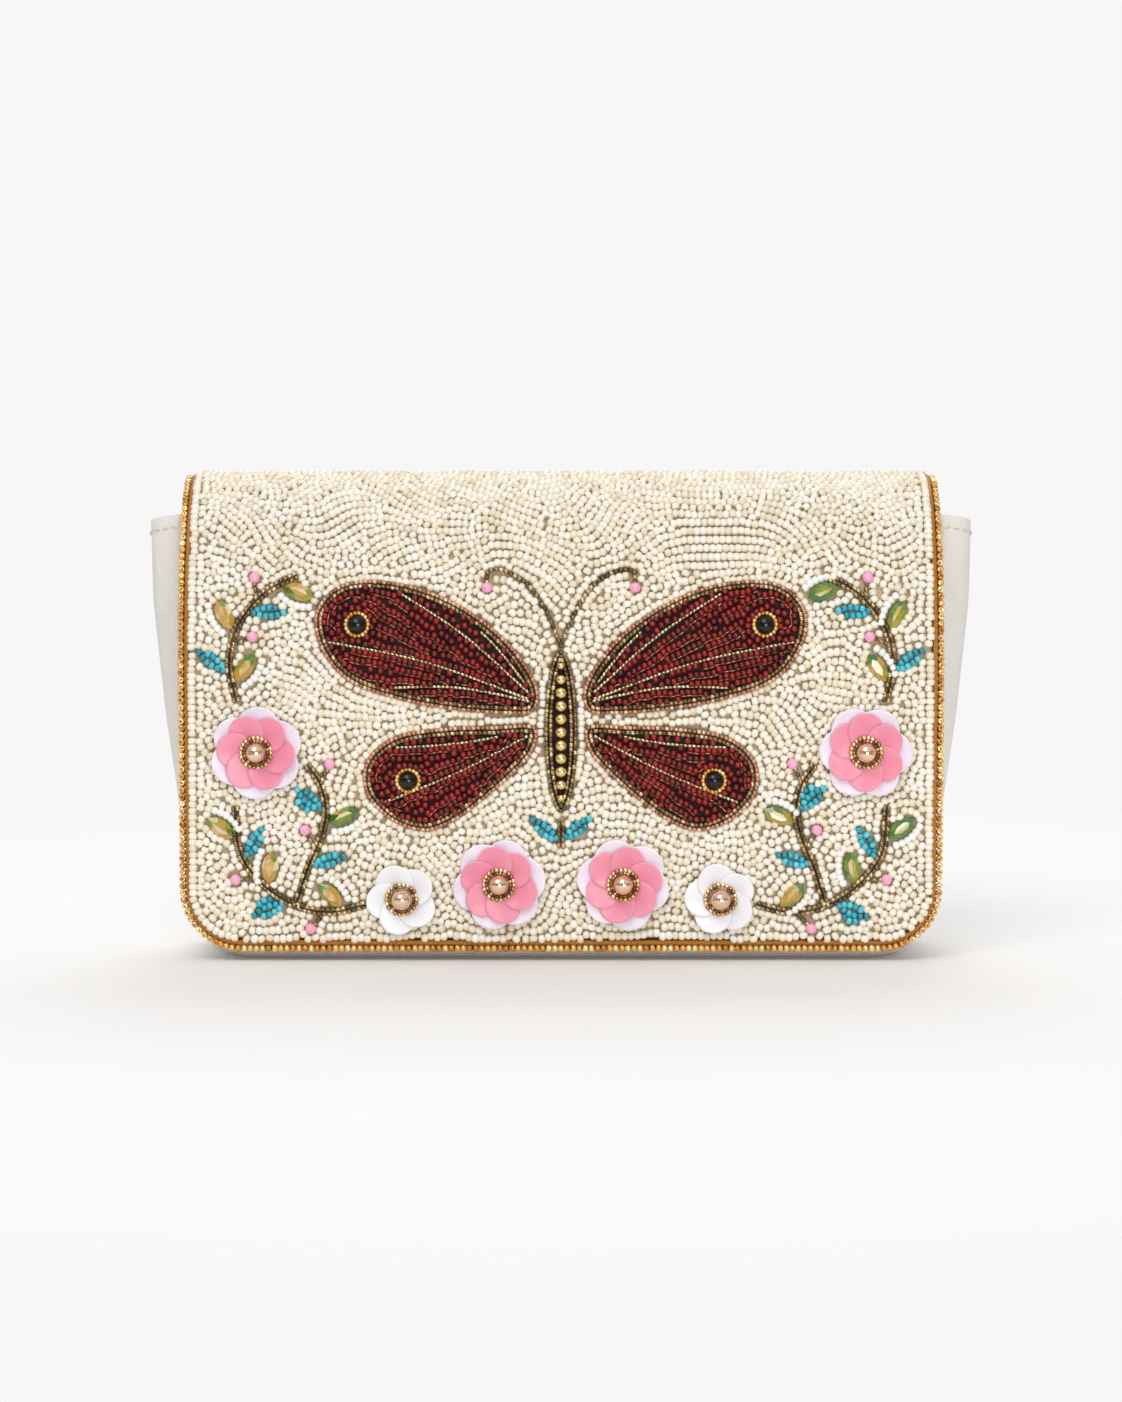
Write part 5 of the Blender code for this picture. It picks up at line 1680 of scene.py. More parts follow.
    def centre(self, flower: str, u: float, s: float, seat: float) -> None:
        """The gold ring, an inner row of bronze beads whose dark colour is painted shade in the gap round the pearl,
        and the pearl.

        Args:
            flower: The flower's name.
            u: The flower's place across.
            s: The flower's run.
            seat: Height that the ring lies on.
        """
        turns = np.linspace(0.0, 2 * math.pi, 64, endpoint=False)
        around = np.stack([np.cos(turns), np.sin(turns)], axis=1)
        # The inner row's dark bronze is painted shade in the gap between the gold ring and the pearl
        for part, finish, radius, width, height in (("gold", RING_GOLD, self.ring_radius, self.ring_bead, 1.0),
                                                    ("bronze", BRONZE, self.inner_ring_radius, self.inner_bead, 0.75)):
            circle = np.array([u, s]) + radius * around
            made = lines_on(f"{flower}_{part}_ring", FLAP_FACE, [(circle, seat + height * MM, True)])
            pitch = 2 * math.pi * radius / self.ring_count
            self.beads.run(made, True, "edge", finish, 0.9 * pitch, width, pitch=pitch, size_spread=0.04, tilt=0.15,
                           seed=9)
            on_body(made, "flap", "gold_beads", *([flower + "_bead_ring"] if part == "gold" else []))
        bands, around = 24, 40
        height = FLAP_FACE.lay(u, s, self.motif_base + self.pearl_radius)
        up = FLAP_FACE.up(s)
        right = np.array([1.0, 0.0, 0.0])
        fore = np.cross(up, right)
        rings = []
        for k in range(bands + 1):
            tilt = 0.04 + (math.pi - 0.08) * k / bands
            spin = 2 * math.pi * np.arange(around) / around
            rings.append(height + self.pearl_radius * (
                np.cos(spin)[:, None] * math.sin(tilt) * right + np.sin(spin)[:, None] * math.sin(tilt) * fore
                - math.cos(tilt) * up))
        on_body(tube(flower + "_rose_pearl", rings, ROSE_PEARL), "flap", "rose_pearl", flower + "_pearl")


def mound(name: str, loop: Points, centre: tuple[float, float], low: float, high: float, finish: Finish,
          edge: float = 1.2 * MM) -> Piece:
    """A low padded mound over a closed line on the flap.

    Args:
        name: The piece's name.
        loop: Its outline.
        centre: A place inside that sees the whole outline.
        low: Height of its flat back.
        high: Height of its top.
        finish: What it is made of.
        edge: How far its rim rounds over.

    Returns:
        The new object, closed.
    """
    rings: list[tuple[Points, float]] = []
    for share in (0.0, 0.12, 0.35, 0.65, 1.0):
        rings.append((inset(loop, share * edge), low + (high - low) * math.sqrt(1 - (1 - share) ** 2)))
    last = rings[-1][0]
    for share in (0.75, 0.5, 0.25):
        rings.append((np.array(centre) + share * (last - centre), high))
    count = len(loop)
    points = [FLAP_FACE.lay(ring[:, 0], ring[:, 1], height) for ring, height in rings]
    points.append(FLAP_FACE.lay([centre[0], centre[0]], [centre[1], centre[1]], [high, low]))
    top, bottom = len(rings) * count, len(rings) * count + 1
    faces = []
    for i in range(len(rings) - 1):
        for k in range(count):
            j = (k + 1) % count
            faces.append((i * count + k, i * count + j, (i + 1) * count + j, (i + 1) * count + k))
    for k in range(count):
        j = (k + 1) % count
        faces.append(((len(rings) - 1) * count + k, (len(rings) - 1) * count + j, top))
        faces.append((k, bottom, j))
    made = to_object(name, np.concatenate(points), faces, finish)
    give_uv(made, np.concatenate([*(ring for ring, _ in rings), np.array([centre, centre])]))
    outward(made)
    return made


@dataclass
class Butterfly(Assembly):
    """The figure in ruby beads: four wings, their spots, the body and the antennae."""

    pad_top: float = 2.2 * MM
    upper: tuple[Place, ...] = (
        (0.0075, 0.0835), (0.0165, 0.0960), (0.0310, 0.1065), (0.0480, 0.1125), (0.0640, 0.1125), (0.0725, 0.1045),
        (0.0710, 0.0935), (0.0625, 0.0840), (0.0470, 0.0785), (0.0300, 0.0755), (0.0150, 0.0745), (0.0080, 0.0755))
    lower: tuple[Place, ...] = (
        (0.0080, 0.0705), (0.0200, 0.0705), (0.0350, 0.0700), (0.0490, 0.0675), (0.0575, 0.0605), (0.0580, 0.0510),
        (0.0510, 0.0430), (0.0410, 0.0395), (0.0320, 0.0425), (0.0230, 0.0490), (0.0140, 0.0570), (0.0085, 0.0635))
    spots: tuple[Place, ...] = ((0.0605, 0.1005), (0.0455, 0.0545))
    centres: tuple[Place, ...] = ((0.0440, 0.0930), (0.0370, 0.0590))
    roots: tuple[Place, ...] = ((0.0060, 0.0775), (0.0060, 0.0700))
    veins: tuple[tuple[Place, ...], ...] = (
        ((0.0330, 0.1060), (0.0500, 0.1110), (0.0715, 0.0960), (0.0560, 0.0820)),
        ((0.0570, 0.0640), (0.0550, 0.0470), (0.0350, 0.0420)))
    antenna: tuple[Place, ...] = (
        (0.0, 0.0945), (0.0042, 0.1040), (0.0095, 0.1120), (0.0165, 0.1165), (0.0215, 0.1165), (0.0220, 0.1130))
    body_bottom: float = 0.0450
    body_top: float = 0.0930
    body_half_width: float = 4.8 * MM
    pearl_radius: float = 1.7 * MM
    pearl_count: int = 11
    row_spacing: float = 2.08 * MM
    bead: float = 1.72 * MM
    spot_radius: float = 2.7 * MM
    off: list[tuple[Points, float]] = field(default_factory=list)
    blocked: list[Points] = field(default_factory=list)

    def build(self) -> None:
        """Makes the figure and notes where the ground's beads have to stay off."""
        for hand, side in HANDS.items():
            for index, name in enumerate(("upper", "lower")):
                self.wing(hand, side, index, name)
        self.body()
        self.antennae()

    def wing(self, hand: str, side: int, index: int, name: str) -> None:
        """One wing: pad, outline, veins, ruby rows, copper lines and its spot.

        Args:
            hand: left or right.
            side: -1 or 1.
            index: 0 for the upper wing and 1 for the lower one.
            name: upper or lower.
        """
        route = (self.upper, self.lower)[index]
        loop = spaced(smooth(mirrored(route, side), True), 1.0 * MM, True)
        spot = np.array(mirrored([self.spots[index]], side)[0])
        centre = mirrored([self.centres[index]], side)[0]
        root = np.array(mirrored([self.roots[index]], side)[0])
        self.blocked.append(loop)
        self.off.append((loop, 0.1 * MM))
        pad = mound(f"{name}_wing_{hand}_pad", loop, centre, 0.35 * MM, self.pad_top, DARK_CLOTH)
        on_body(pad, "flap", "burgundy_beads", f"{name}_wing_{hand}")
        for part, finish, inward, height in (("copper", COPPER_GLASS, 0.35, 0.2), ("bronze", BRONZE, 1.7, 0.75)):
            made = lines_on(f"{name}_wing_{hand}_{part}_row", FLAP_FACE,
                            [(inset(loop, inward * MM), self.pad_top + height * MM, True)])
            self.beads.run(made, True, "cut", finish, 1.32 * MM, 1.42 * MM, pitch=1.38 * MM, tilt=0.12,
                           seed=11 + index)
            on_body(made, "flap", "bronze_beads", *([f"{name}_wing_{hand}_outline"] if part == "bronze" else []))
        low, high = loop.min(axis=0), loop.max(axis=0)
        ground = Field(tuple(low), tuple(high), 0.5 * MM)
        ground.keep_off(inset(loop, 2.4 * MM), np.full(len(loop), 0.0))
        ground.room = np.where(inside(inset(loop, 2.4 * MM), ground.grid_u, ground.grid_s), ground.room, -1.0)
        vein_lines = []
        for tip in mirrored(self.veins[index], side):
            bow = np.array(tip) * 0.5 + root * 0.5 + np.array([0.0, (0.0025 if index == 0 else -0.0015)])
            line = spaced(smooth([tuple(root), tuple(bow), tip], False), 0.5 * MM)
            keep = inside(inset(loop, 3.0 * MM), line[:, 0], line[:, 1])
            keep &= np.hypot(*(line - spot).T) > self.spot_radius + 2.2 * MM
            line = line[keep]
            if len(line) > 8:
                vein_lines.append(line)
                ground.keep_off(line, np.full(len(line), 0.55 * MM))
        made = lines_on(f"{name}_wing_{hand}_veins", FLAP_FACE,
                        [(line, self.pad_top + 0.75 * MM, False) for line in vein_lines])
        self.beads.run(made, True, "cut", CHAMPAGNE, 1.2 * MM, 1.15 * MM, pitch=1.25 * MM, tilt=0.1, seed=21 + index)
        on_body(made, "flap", "bronze_beads")
        ground.keep_off(spot[None], np.array([self.spot_radius + 1.4 * MM]))
        radial = np.arctan2(ground.grid_s - root[1], ground.grid_u - root[0])
        ground.set_way(radial, 2.2 * MM)
        seeds = [tuple(root + reach * (np.array(tip) - root)) for tip in mirrored(route, side)
                 for reach in (0.5, 0.7, 0.85)]
        rows, taken = ground.rows(self.bead, self.row_spacing, 0.45 * MM, seeds, fewest=2)
        single = ground.odd_beads(taken, 1.75 * MM, 0.4 * MM, np.random.default_rng(5))
        places = np.concatenate([*rows, single])
        along = np.concatenate([*(np.gradient(row, axis=0) for row in rows),
                                np.tile([1.0, 0.3], (len(single), 1))])
        along /= np.linalg.norm(along, axis=1, keepdims=True)
        places = even_out(ground, places, along, self.bead, self.row_spacing, 0.3 * MM, 8)
        made = points_on(f"{name}_wing_{hand}_ruby_beads", FLAP_FACE, places, along, self.pad_top + 0.85 * MM)
        self.beads.run(made, False, "seed", BURGUNDY, 1.72 * MM, 2.04 * MM, size_spread=0.06, tilt=0.1, seed=31)
        on_body(made, "flap", "burgundy_beads")
        sewn = np.split(places, np.cumsum([len(row) for row in rows]))[:len(rows)]
        self.copper(f"{name}_wing_{hand}", sewn, ground, places)
        self.spot(name, hand, float(spot[0]), float(spot[1]))

    def copper(self, name: str, rows: list[Points], ground: Field, places: Points) -> None:
        """Copper thread laid between the ruby rows.

        Args:
            name: The wing's name.
            rows: The ruby rows.
            ground: The wing's field.
            places: Every ruby bead.
        """
        lines = []
        for row in rows:
            if len(row) < 6:
                continue
            fine = spaced(row, 0.6 * MM)
            line = fine + 0.5 * self.row_spacing * sides_of(fine, False)
            near = np.min(np.hypot(line[:, None, 0] - places[:, 0], line[:, None, 1] - places[:, 1]), axis=1)
            keep = (near > 0.98 * MM) & np.array([ground.at(*p)[0] > 0.1 * MM for p in line])
            start = None
            for k in range(len(line) + 1):
                if k < len(line) and keep[k]:
                    start = k if start is None else start
                elif start is not None:
                    if k - start > 6:
                        lines.append((line[start:k], self.pad_top + 0.6 * MM, False))
                    start = None
        if lines:
            made = lines_on(name + "_copper_lines", FLAP_FACE, lines)
            self.beads.run(made, True, "cut", COPPER, 1.75 * MM, 0.62 * MM, pitch=1.7 * MM, tilt=0.05, seed=41)
            on_body(made, "flap", "bronze_beads")

    def spot(self, name: str, hand: str, u: float, s: float) -> None:
        """A black glass dome in a ring of gold beads.

        Args:
            name: upper or lower.
            hand: left or right.
            u: Place across.
            s: Run.
        """
        seat = self.pad_top + 0.5 * MM
        turns = 2 * math.pi * np.arange(32) / 32
        rings = []
        for share in (1.0, 0.99, 0.95, 0.86, 0.72, 0.54, 0.33, 0.1):
            radius = self.spot_radius * share
            height = seat + (2.6 * MM * math.sqrt(1 - share ** 2) if share < 1 else 0.0)
            rings.append(FLAP_FACE.lay(u + radius * np.cos(turns), s + radius * np.sin(turns), height))
        made = tube(f"{name}_spot_{hand}_dome", rings, JET)
        give(made, "tint", np.full(len(made.data.vertices), 0.2))
        on_body(made, "flap", "black_cabochon", f"{name}_spot_{hand}")
        radius = self.spot_radius + 0.65 * MM
        circle = np.stack([u + radius * np.cos(turns), s + radius * np.sin(turns)], axis=1)
        made = lines_on(f"{name}_spot_{hand}_ring", FLAP_FACE, [(circle, self.pad_top + 0.8 * MM, True)])
        self.beads.run(made, True, "edge", GOLD, 1.15 * MM, 1.35 * MM, pitch=1.22 * MM, tilt=0.1, seed=51)
        on_body(made, "flap", "gold_beads")

    def body(self) -> None:
        """A padded spindle with two bronze rows round a string of gold pearls."""
        middle, half = (self.body_bottom + self.body_top) / 2, (self.body_top - self.body_bottom) / 2
        turns = 2 * math.pi * np.arange(120) / 120
        loop = spaced(np.stack([self.body_half_width * np.sin(turns), middle + half * np.cos(turns)], axis=1), 0.8 * MM,
                      True)
        self.blocked.append(loop)
        self.off.append((loop, 0.1 * MM))
        pad = mound("body_pad", loop, (0.0, middle), 0.35 * MM, self.pad_top - 0.4 * MM, DARK_CLOTH, 0.8 * MM)
        on_body(pad, "flap", "bronze_beads")
        made = lines_on("body_bronze_rows", FLAP_FACE, [(inset(loop, 0.45 * MM), self.pad_top + 0.25 * MM, True),
                                                        (inset(loop, 1.75 * MM), self.pad_top + 0.6 * MM, True)])
        self.beads.run(made, True, "cut", BRONZE, 1.35 * MM, 1.4 * MM, pitch=1.42 * MM, tilt=0.1, seed=61)
        on_body(made, "flap", "bronze_beads", "body_band")
        bottom, top = self.body_bottom + 2.8 * MM, self.body_top - 2.8 * MM
        count = self.pearl_count
        places = np.stack([np.zeros(count), np.linspace(bottom + 1.6 * MM, top - 1.6 * MM, count)], axis=1)
        size = np.clip(1.25 * np.sqrt(np.sin(math.pi * (np.arange(count) + 0.9) / (count + 0.8))), 0.5, 1.0)
        around, bands = 18, 10
        parts, faces, first = [], [], 0
        for (u, s), share in zip(places, size):
            radius = self.pearl_radius * share
            centre = FLAP_FACE.lay(u, s, self.pad_top + self.pearl_radius)
            for band in range(bands + 1):
                tilt = 0.1 + (math.pi - 0.2) * band / bands
                spin = 2 * math.pi * np.arange(around) / around
                parts.append(centre + radius * np.stack([np.cos(spin) * math.sin(tilt), np.sin(spin) * math.sin(tilt),
                                                         np.full(around, math.cos(tilt))], axis=1))
            for band in range(bands):
                for k in range(around):
                    a, b = first + band * around + k, first + band * around + (k + 1) % around
                    faces.append((a, b, b + around, a + around))
            faces.append(tuple(first + k for k in range(around)))
            faces.append(tuple(first + bands * around + k for k in range(around))[::-1])
            first += (bands + 1) * around
        made = to_object("body_gold_pearls", np.concatenate(parts), faces, GOLD_PEARL)
        outward(made)
        on_body(made, "flap", "gold_pearl", "body_pearls")

    def antennae(self) -> None:
        """Two curled rows of bronze beads with a pink bead at each end."""
        lines = [spaced(smooth(mirrored(self.antenna, side), False), 0.7 * MM) for side in HANDS.values()]
        made = lines_on("antenna_bronze_rows", FLAP_FACE, [(line, 1.9 * MM, False) for line in lines])
        self.beads.run(made, True, "cut", BRONZE, 1.4 * MM, 1.5 * MM, pitch=1.45 * MM, tilt=0.12, seed=71)
        on_body(made, "flap", "bronze_beads", "antennae")
        for line in lines:
            self.off.append((line, 0.75 * MM))
        ends = np.array([line[-1] + (0.0, -1.6 * MM) for line in lines])
        self.off.append((ends, 1.7 * MM))
        made = points_on("antenna_ends", FLAP_FACE, ends, np.tile([0.0, 1.0], (2, 1)), 2.2 * MM)
        self.beads.run(made, False, "round", PINK_GLASS, 3.2 * MM, 3.3 * MM, size_spread=0.02, tilt=0.1, seed=72)
        on_body(made, "flap", "leaf_beads")


class LeafKind(Enum):
    """What is sewn at a leaf's place."""

    TURQUOISE = "two or three rows of turquoise beads"
    CRYSTAL = "a cut glass leaf"
    BUD = "a twig with a pink bead"


@dataclass(frozen=True)
class Stem:
    """One stem: its name, its route on the right-hand side, and its leaves.

    A leaf is (place along the stem, turn in degrees from the stem's way).
    """

    name: str
    route: tuple[Place, ...]
    leaves: tuple[Place, ...]
    kinds: tuple[LeafKind, ...]
    replaces: bool = True


TURQ, GEM, BUD = LeafKind.TURQUOISE, LeafKind.CRYSTAL, LeafKind.BUD


@dataclass
class Garland(Assembly):
    """The stems of bronze beads with their leaves, stones and buds, in the shape of a wide U."""

    half_width: float = 0.114
    height: float = 2.0 * MM
    stems: tuple[Stem, ...] = (
        Stem("lower_vine", ((0.0550, 0.0170), (0.0460, 0.0150), (0.0360, 0.0165), (0.0260, 0.0225), (0.0185, 0.0325),
                            (0.0170, 0.0460)),
             ((0.10, 58), (0.20, -52), (0.40, -50), (0.53, 55), (0.60, -48), (0.72, 58), (0.83, -45)),
             (GEM, BUD, TURQ, GEM, BUD, TURQ, GEM)),
        Stem("side_branch", ((0.0350, 0.0170), (0.0385, 0.0280), (0.0425, 0.0375), (0.0440, 0.0455),
                             (0.0425, 0.0530), (0.0390, 0.0585)),
             ((0.28, 52), (0.40, -52), (0.58, 55), (0.66, -50), (0.86, 50)), (TURQ, BUD, GEM, TURQ, BUD), False),
        Stem("upper_vine", ((0.0175, 0.0785), (0.0155, 0.0890), (0.0180, 0.1000), (0.0255, 0.1095),
                            (0.0350, 0.1150)),
             ((0.10, 50), (0.18, -48), (0.36, 55), (0.44, -50), (0.60, 52), (0.70, -52), (0.88, 48)),
             (GEM, TURQ, BUD, GEM, TURQ, BUD, GEM)))
    off: list[tuple[Points, float]] = field(default_factory=list)

    def build(self) -> None:
        """Makes the garland on both sides and in the middle."""
        for hand, side in HANDS.items():
            for stem in self.stems:
                route = [(side * (self.half_width - inward), s) for inward, s in stem.route]
                node = f"{stem.name}_{hand}" if stem.replaces else None
                self.stem(f"{stem.name}_{hand}", route, stem.leaves, stem.kinds, side, node)
        self.stem("centre_sprig", [(0.0, 0.0350), (0.0, 0.0380), (0.0, 0.0415)], ((0.10, 52), (0.16, -52)),
                  (TURQ, TURQ), 1, "centre_sprig")

    def stem(self, name: str, route: list[tuple[float, float]], leaves: Route,
             kinds: Sequence[LeafKind], side: int, node: Optional[str]) -> None:
        """One stem as a double row of bronze beads, with its leaves.

        Args:
            name: The stem's name.
            route: Its (u, s) route.
            leaves: Its leaves' places and turns.
            kinds: What each leaf is.
            side: -1 or 1.
            node: The node that the stem replaces, if any.
        """
        line = spaced(smooth(route, False), 0.6 * MM)
        sides = sides_of(line, False)
        rows = [(line + 0.68 * MM * sides, self.height, False), (line - 0.68 * MM * sides, self.height, False)]
        self.off.append((line, 1.05 * MM))
        turquoise, chalk, buds, gems = [], [], [], []
        runs = runs_of(line)
        for index, ((place, turn), kind) in enumerate(zip(leaves, kinds)):
            at = place * runs[-1]
            root = np.array([np.interp(at, runs, line[:, k]) for k in (0, 1)])
            ahead = np.array([np.interp(at + 0.9 * MM, runs, line[:, k]) for k in (0, 1)])
            angle = math.atan2(*(ahead - root)[::-1]) + math.radians(side * turn)
            along = np.array([math.cos(angle), math.sin(angle)])
            across = np.array([-along[1], along[0]])

            def spot(a: float, b: float, root: Points = root, along: Points = along, across: Points = across) -> Points:
                """The place a mm out from the stem and b mm aside."""
                return root + a * MM * along + b * MM * across

            if kind is LeafKind.TURQUOISE:
                lean = 1 if index % 2 else -1
                # Each row bows out from the leaf's middle, and every other leaf has a third row
                for bow, first, last in ((1.3, 2.1, 11.0), (-1.15, 3.2, 9.6), (3.3, 4.8, 8.6))[:2 + index // 2 % 2]:
                    turquoise.append(np.array([spot(a, lean * bow * math.sin(math.pi * (a - 1.4) / 10.2)) for a in
                                               np.arange(first, last, 1.76)]))
                    self.off.append((turquoise[-1], 0.95 * MM))
            elif kind is LeafKind.BUD:
                rows.append((np.array([spot(a, 0.12 * (a - 1) * (1 if index % 2 else -1) * 0.3) for a in
                                       np.linspace(1.4, 5.0, 8)]), self.height - 0.1 * MM, False))
                buds.append(spot(6.7, 0))
                self.off.append((np.array([spot(a, 0) for a in (2.0, 3.0, 4.0, 5.0)]), 0.8 * MM))
                self.off.append((buds[-1][None], 1.75 * MM))
            else:
                gems.append((spot(6.3, 0), along))
                bend = 1 if index % 2 else -1
                arc = np.array([spot(a, bend * (4.1 - 0.05 * (a - 6.3) ** 2)) for a in np.linspace(1.9, 10.9, 6)])
                chalk.append(arc)
                self.off.append((arc, 1.1 * MM))
                self.off.append((np.array([spot(a, 0) for a in (4.0, 5.2, 6.4, 7.6, 8.8)]), 2.0 * MM))
        made = lines_on(name + "_bronze_rows", FLAP_FACE, rows)
        self.beads.run(made, True, "cut", BRONZE, 1.45 * MM, 1.35 * MM, pitch=1.48 * MM, tilt=0.1, seed=81)
        on_body(made, "flap", "bronze_beads", *([node] if node else []))
        for part, groups, shape, finish, length, width in (
                ("turquoise_beads", turquoise, "seed", TURQUOISE, 1.78, 2.25),
                ("chalk_beads", chalk, "seed", CHALK, 2.0, 2.5)):
            if groups:
                ways = np.concatenate([np.gradient(group, axis=0) for group in groups])
                made = points_on(f"{name}_{part}", FLAP_FACE, np.concatenate(groups),
                                 ways / np.linalg.norm(ways, axis=1, keepdims=True), 1.75 * MM)
                self.beads.run(made, False, shape, finish, length * MM, width * MM, size_spread=0.05, tilt=0.1,
                               seed=82)
                on_body(made, "flap", "leaf_beads")
        if buds:
            made = points_on(name + "_pink_buds", FLAP_FACE, np.array(buds), np.tile([0.8, 0.6], (len(buds), 1)),
                             2.1 * MM)
            self.beads.run(made, False, "round", PINK_GLASS, 3.2 * MM, 3.3 * MM, size_spread=0.03, tilt=0.6, seed=83)
            on_body(made, "flap", "leaf_beads")
        if gems:
            self.gems(name + "_cut_leaves", gems)

    def gems(self, name: str, places: list[tuple[Points, Points]]) -> None:
        """Leaf-shaped cut stones, with painted shade on the two facets at the outer tip for the drilled hole, which is
        not modelled.

        Args:
            name: The piece's name.
            places: Each stone's middle and way.
        """
        rng = np.random.default_rng(len(places) * 7 + len(name))
        points, faces, tint = [], [], []
        rim = [(-5.0, 0.0), (-3.0, 1.9), (0.0, 2.6), (2.8, 2.0), (5.0, 0.0), (2.8, -2.0), (0.0, -2.6), (-3.0, -1.9)]
        table = [(-2.8, 0.0), (-1.0, 1.0), (1.7, 1.05), (2.9, 0.0), (1.7, -1.05), (-1.0, -1.0)]
        pairs = [(0, 0), (1, 1), (2, 1), (3, 2), (4, 3), (5, 4), (6, 5), (7, 5)]
        for middle, along in places:
            across = np.array([-along[1], along[0]])
            hue = rng.uniform(0.1, 0.85)
            first = len(points)
            for layer, height in ((rim, 1.0), (rim, 1.9), (table, 3.0)):
                for a, b in layer:
                    place = middle + a * MM * along + b * MM * across
                    points.append(FLAP_FACE.lay(place[0], place[1], height * MM))
            count = len(rim)
            faces.append(tuple(first + k for k in range(count)))
            tint.append(hue)
            for k in range(count):
                j = (k + 1) % count
                faces.append((first + k, first + j, first + count + j, first + count + k))
                tint.append(hue)
                inner, following = first + 2 * count + pairs[k][1], first + 2 * count + pairs[j][1]
                corners = [first + count + k, first + count + j, following, inner]
                faces.append(tuple(dict.fromkeys(corners)))
                # Painted shade: the two crown facets at the outer tip are tinted darker
                tint.append(float(np.clip(hue + rng.normal(0, 0.2) - (0.3 if k in (3, 4) else 0.0), 0, 1)))
            # Painted highlight: the first half of the table gets a near-white tint
            faces.append(tuple(first + 2 * count + k for k in (0, 1, 2, 3)))
            tint.append(float(rng.uniform(0.82, 1.0)))
            faces.append(tuple(first + 2 * count + k for k in (0, 3, 4, 5)))
            tint.append(float(np.clip(hue + 0.15, 0, 1)))
        made = to_object(name, np.array(points), faces, CRYSTAL, flat=True)
        give(made, "tint", tint, "FACE")
        outward(made)
        on_body(made, "flap", "leaf_beads")


@dataclass
class IvoryGround(Assembly):
    """The ivory beads: wavy rows that echo the shapes beside them and fill all that is left."""

    spacing: float = 2.4 * MM
    pitch: float = 1.9 * MM
    diameter: float = 2.68 * MM
    length: float = 2.08 * MM
    margin: float = 1.0 * MM
    inward: float = 3.4 * MM
    last_run: float = 0.1579
    seat: float = 1.15 * MM
    parts: int = 4
    cell: float = 0.5 * MM
    pink_clearance: float = 10.0 * MM
    white_clearance: float = 7.4 * MM
    longest_arm: int = 26

    def build(self, flowers: Flowers, butterfly: Butterfly, garland: Garland) -> None:
        """Fills the ground.

        Args:
            flowers: The flowers, which cover some of the ground.
            butterfly: The figure that the rows go round.
            garland: The stems and leaves that the rows go round.
        """
        edge = spaced(edge_line(self.inward, top=self.last_run), 1.0 * MM)
        top = np.stack([np.arange(edge[-1, 0], edge[0, 0], -1.0 * MM)] * 2, axis=1)
        top[:, 1] = edge[0, 1]
        closed = np.concatenate([edge, top])
        ground = Field((-0.1105, 0.0065), (0.1105, 0.1590), self.cell)
        ground.keep_off(closed, np.zeros(len(closed)))
        ground.room = np.where(inside(closed, ground.grid_u, ground.grid_s), ground.room, -1.0)
        for line, radius in (*butterfly.off, *garland.off):
            ground.keep_off(line, np.full(len(line), radius))
        for loop in butterfly.blocked:
            ground.room = np.where(inside(loop, ground.grid_u, ground.grid_s), -1.0, ground.room)
        for side in HANDS.values():
            pink = np.array(mirrored(flowers.pink, side))
            ground.keep_off(pink, np.full(len(pink), self.pink_clearance))
            ground.keep_off(np.array(mirrored([flowers.white], side)), np.array([self.white_clearance]))
        u, s = ground.grid_u, ground.grid_s
        wave = (0.55 * np.sin(u / 0.013 + 2.2 * np.sin(s / 0.021)) + 0.35 * np.sin(u / 0.0065 + s / 0.012 + 1.0)
                + 0.3 * np.sin(s / 0.009 - u / 0.03))
        ground.set_way(wave, 5.0 * MM)
        rng = np.random.default_rng(12)
        # First a row right beside every shape and along the edging, then rows from anywhere
        beside = np.argwhere((ground.room >= self.margin) & (ground.room < self.margin + 0.3 * MM))
        rng.shuffle(beside)
        seeds = [(float(ground.u[i]), float(ground.s[j])) for i, j in beside]
        seeds += [tuple(p) for p in np.stack([rng.uniform(-0.105, 0.105, 500), rng.uniform(0.009, 0.156, 500)], axis=1)]
        rows, taken = ground.rows(self.pitch, self.spacing, self.margin, seeds, longest=self.longest_arm)
        single = ground.odd_beads(taken, 1.8 * MM, 0.9 * MM, rng)
        turn = rng.uniform(0, math.pi, len(single))
        places = np.concatenate([*rows, single])
        along = np.concatenate([*(np.gradient(row, axis=0) for row in rows),
                                np.stack([np.cos(turn), np.sin(turn)], axis=1)])
        along /= np.linalg.norm(along, axis=1, keepdims=True)
        places = even_out(ground, places, along, self.pitch, self.spacing, 0.8 * MM)
        height = self.seat + rng.normal(0, 0.08 * MM, len(places))
        LOG.info("ivory ground: %d rows, %d beads, %d of them single", len(rows), len(places), len(single))
        order = np.argsort(places[:, 1])
        for k, part in enumerate(np.array_split(order, self.parts)):
            made = points_on(f"ivory_beads_{k + 1}", FLAP_FACE, places[part], along[part], height[part])
            self.beads.run(made, False, "seed", IVORY, self.length, self.diameter, size_spread=0.07, tilt=0.13,
                           seed=91 + k)
            on_body(made, "flap", "ivory_beads")


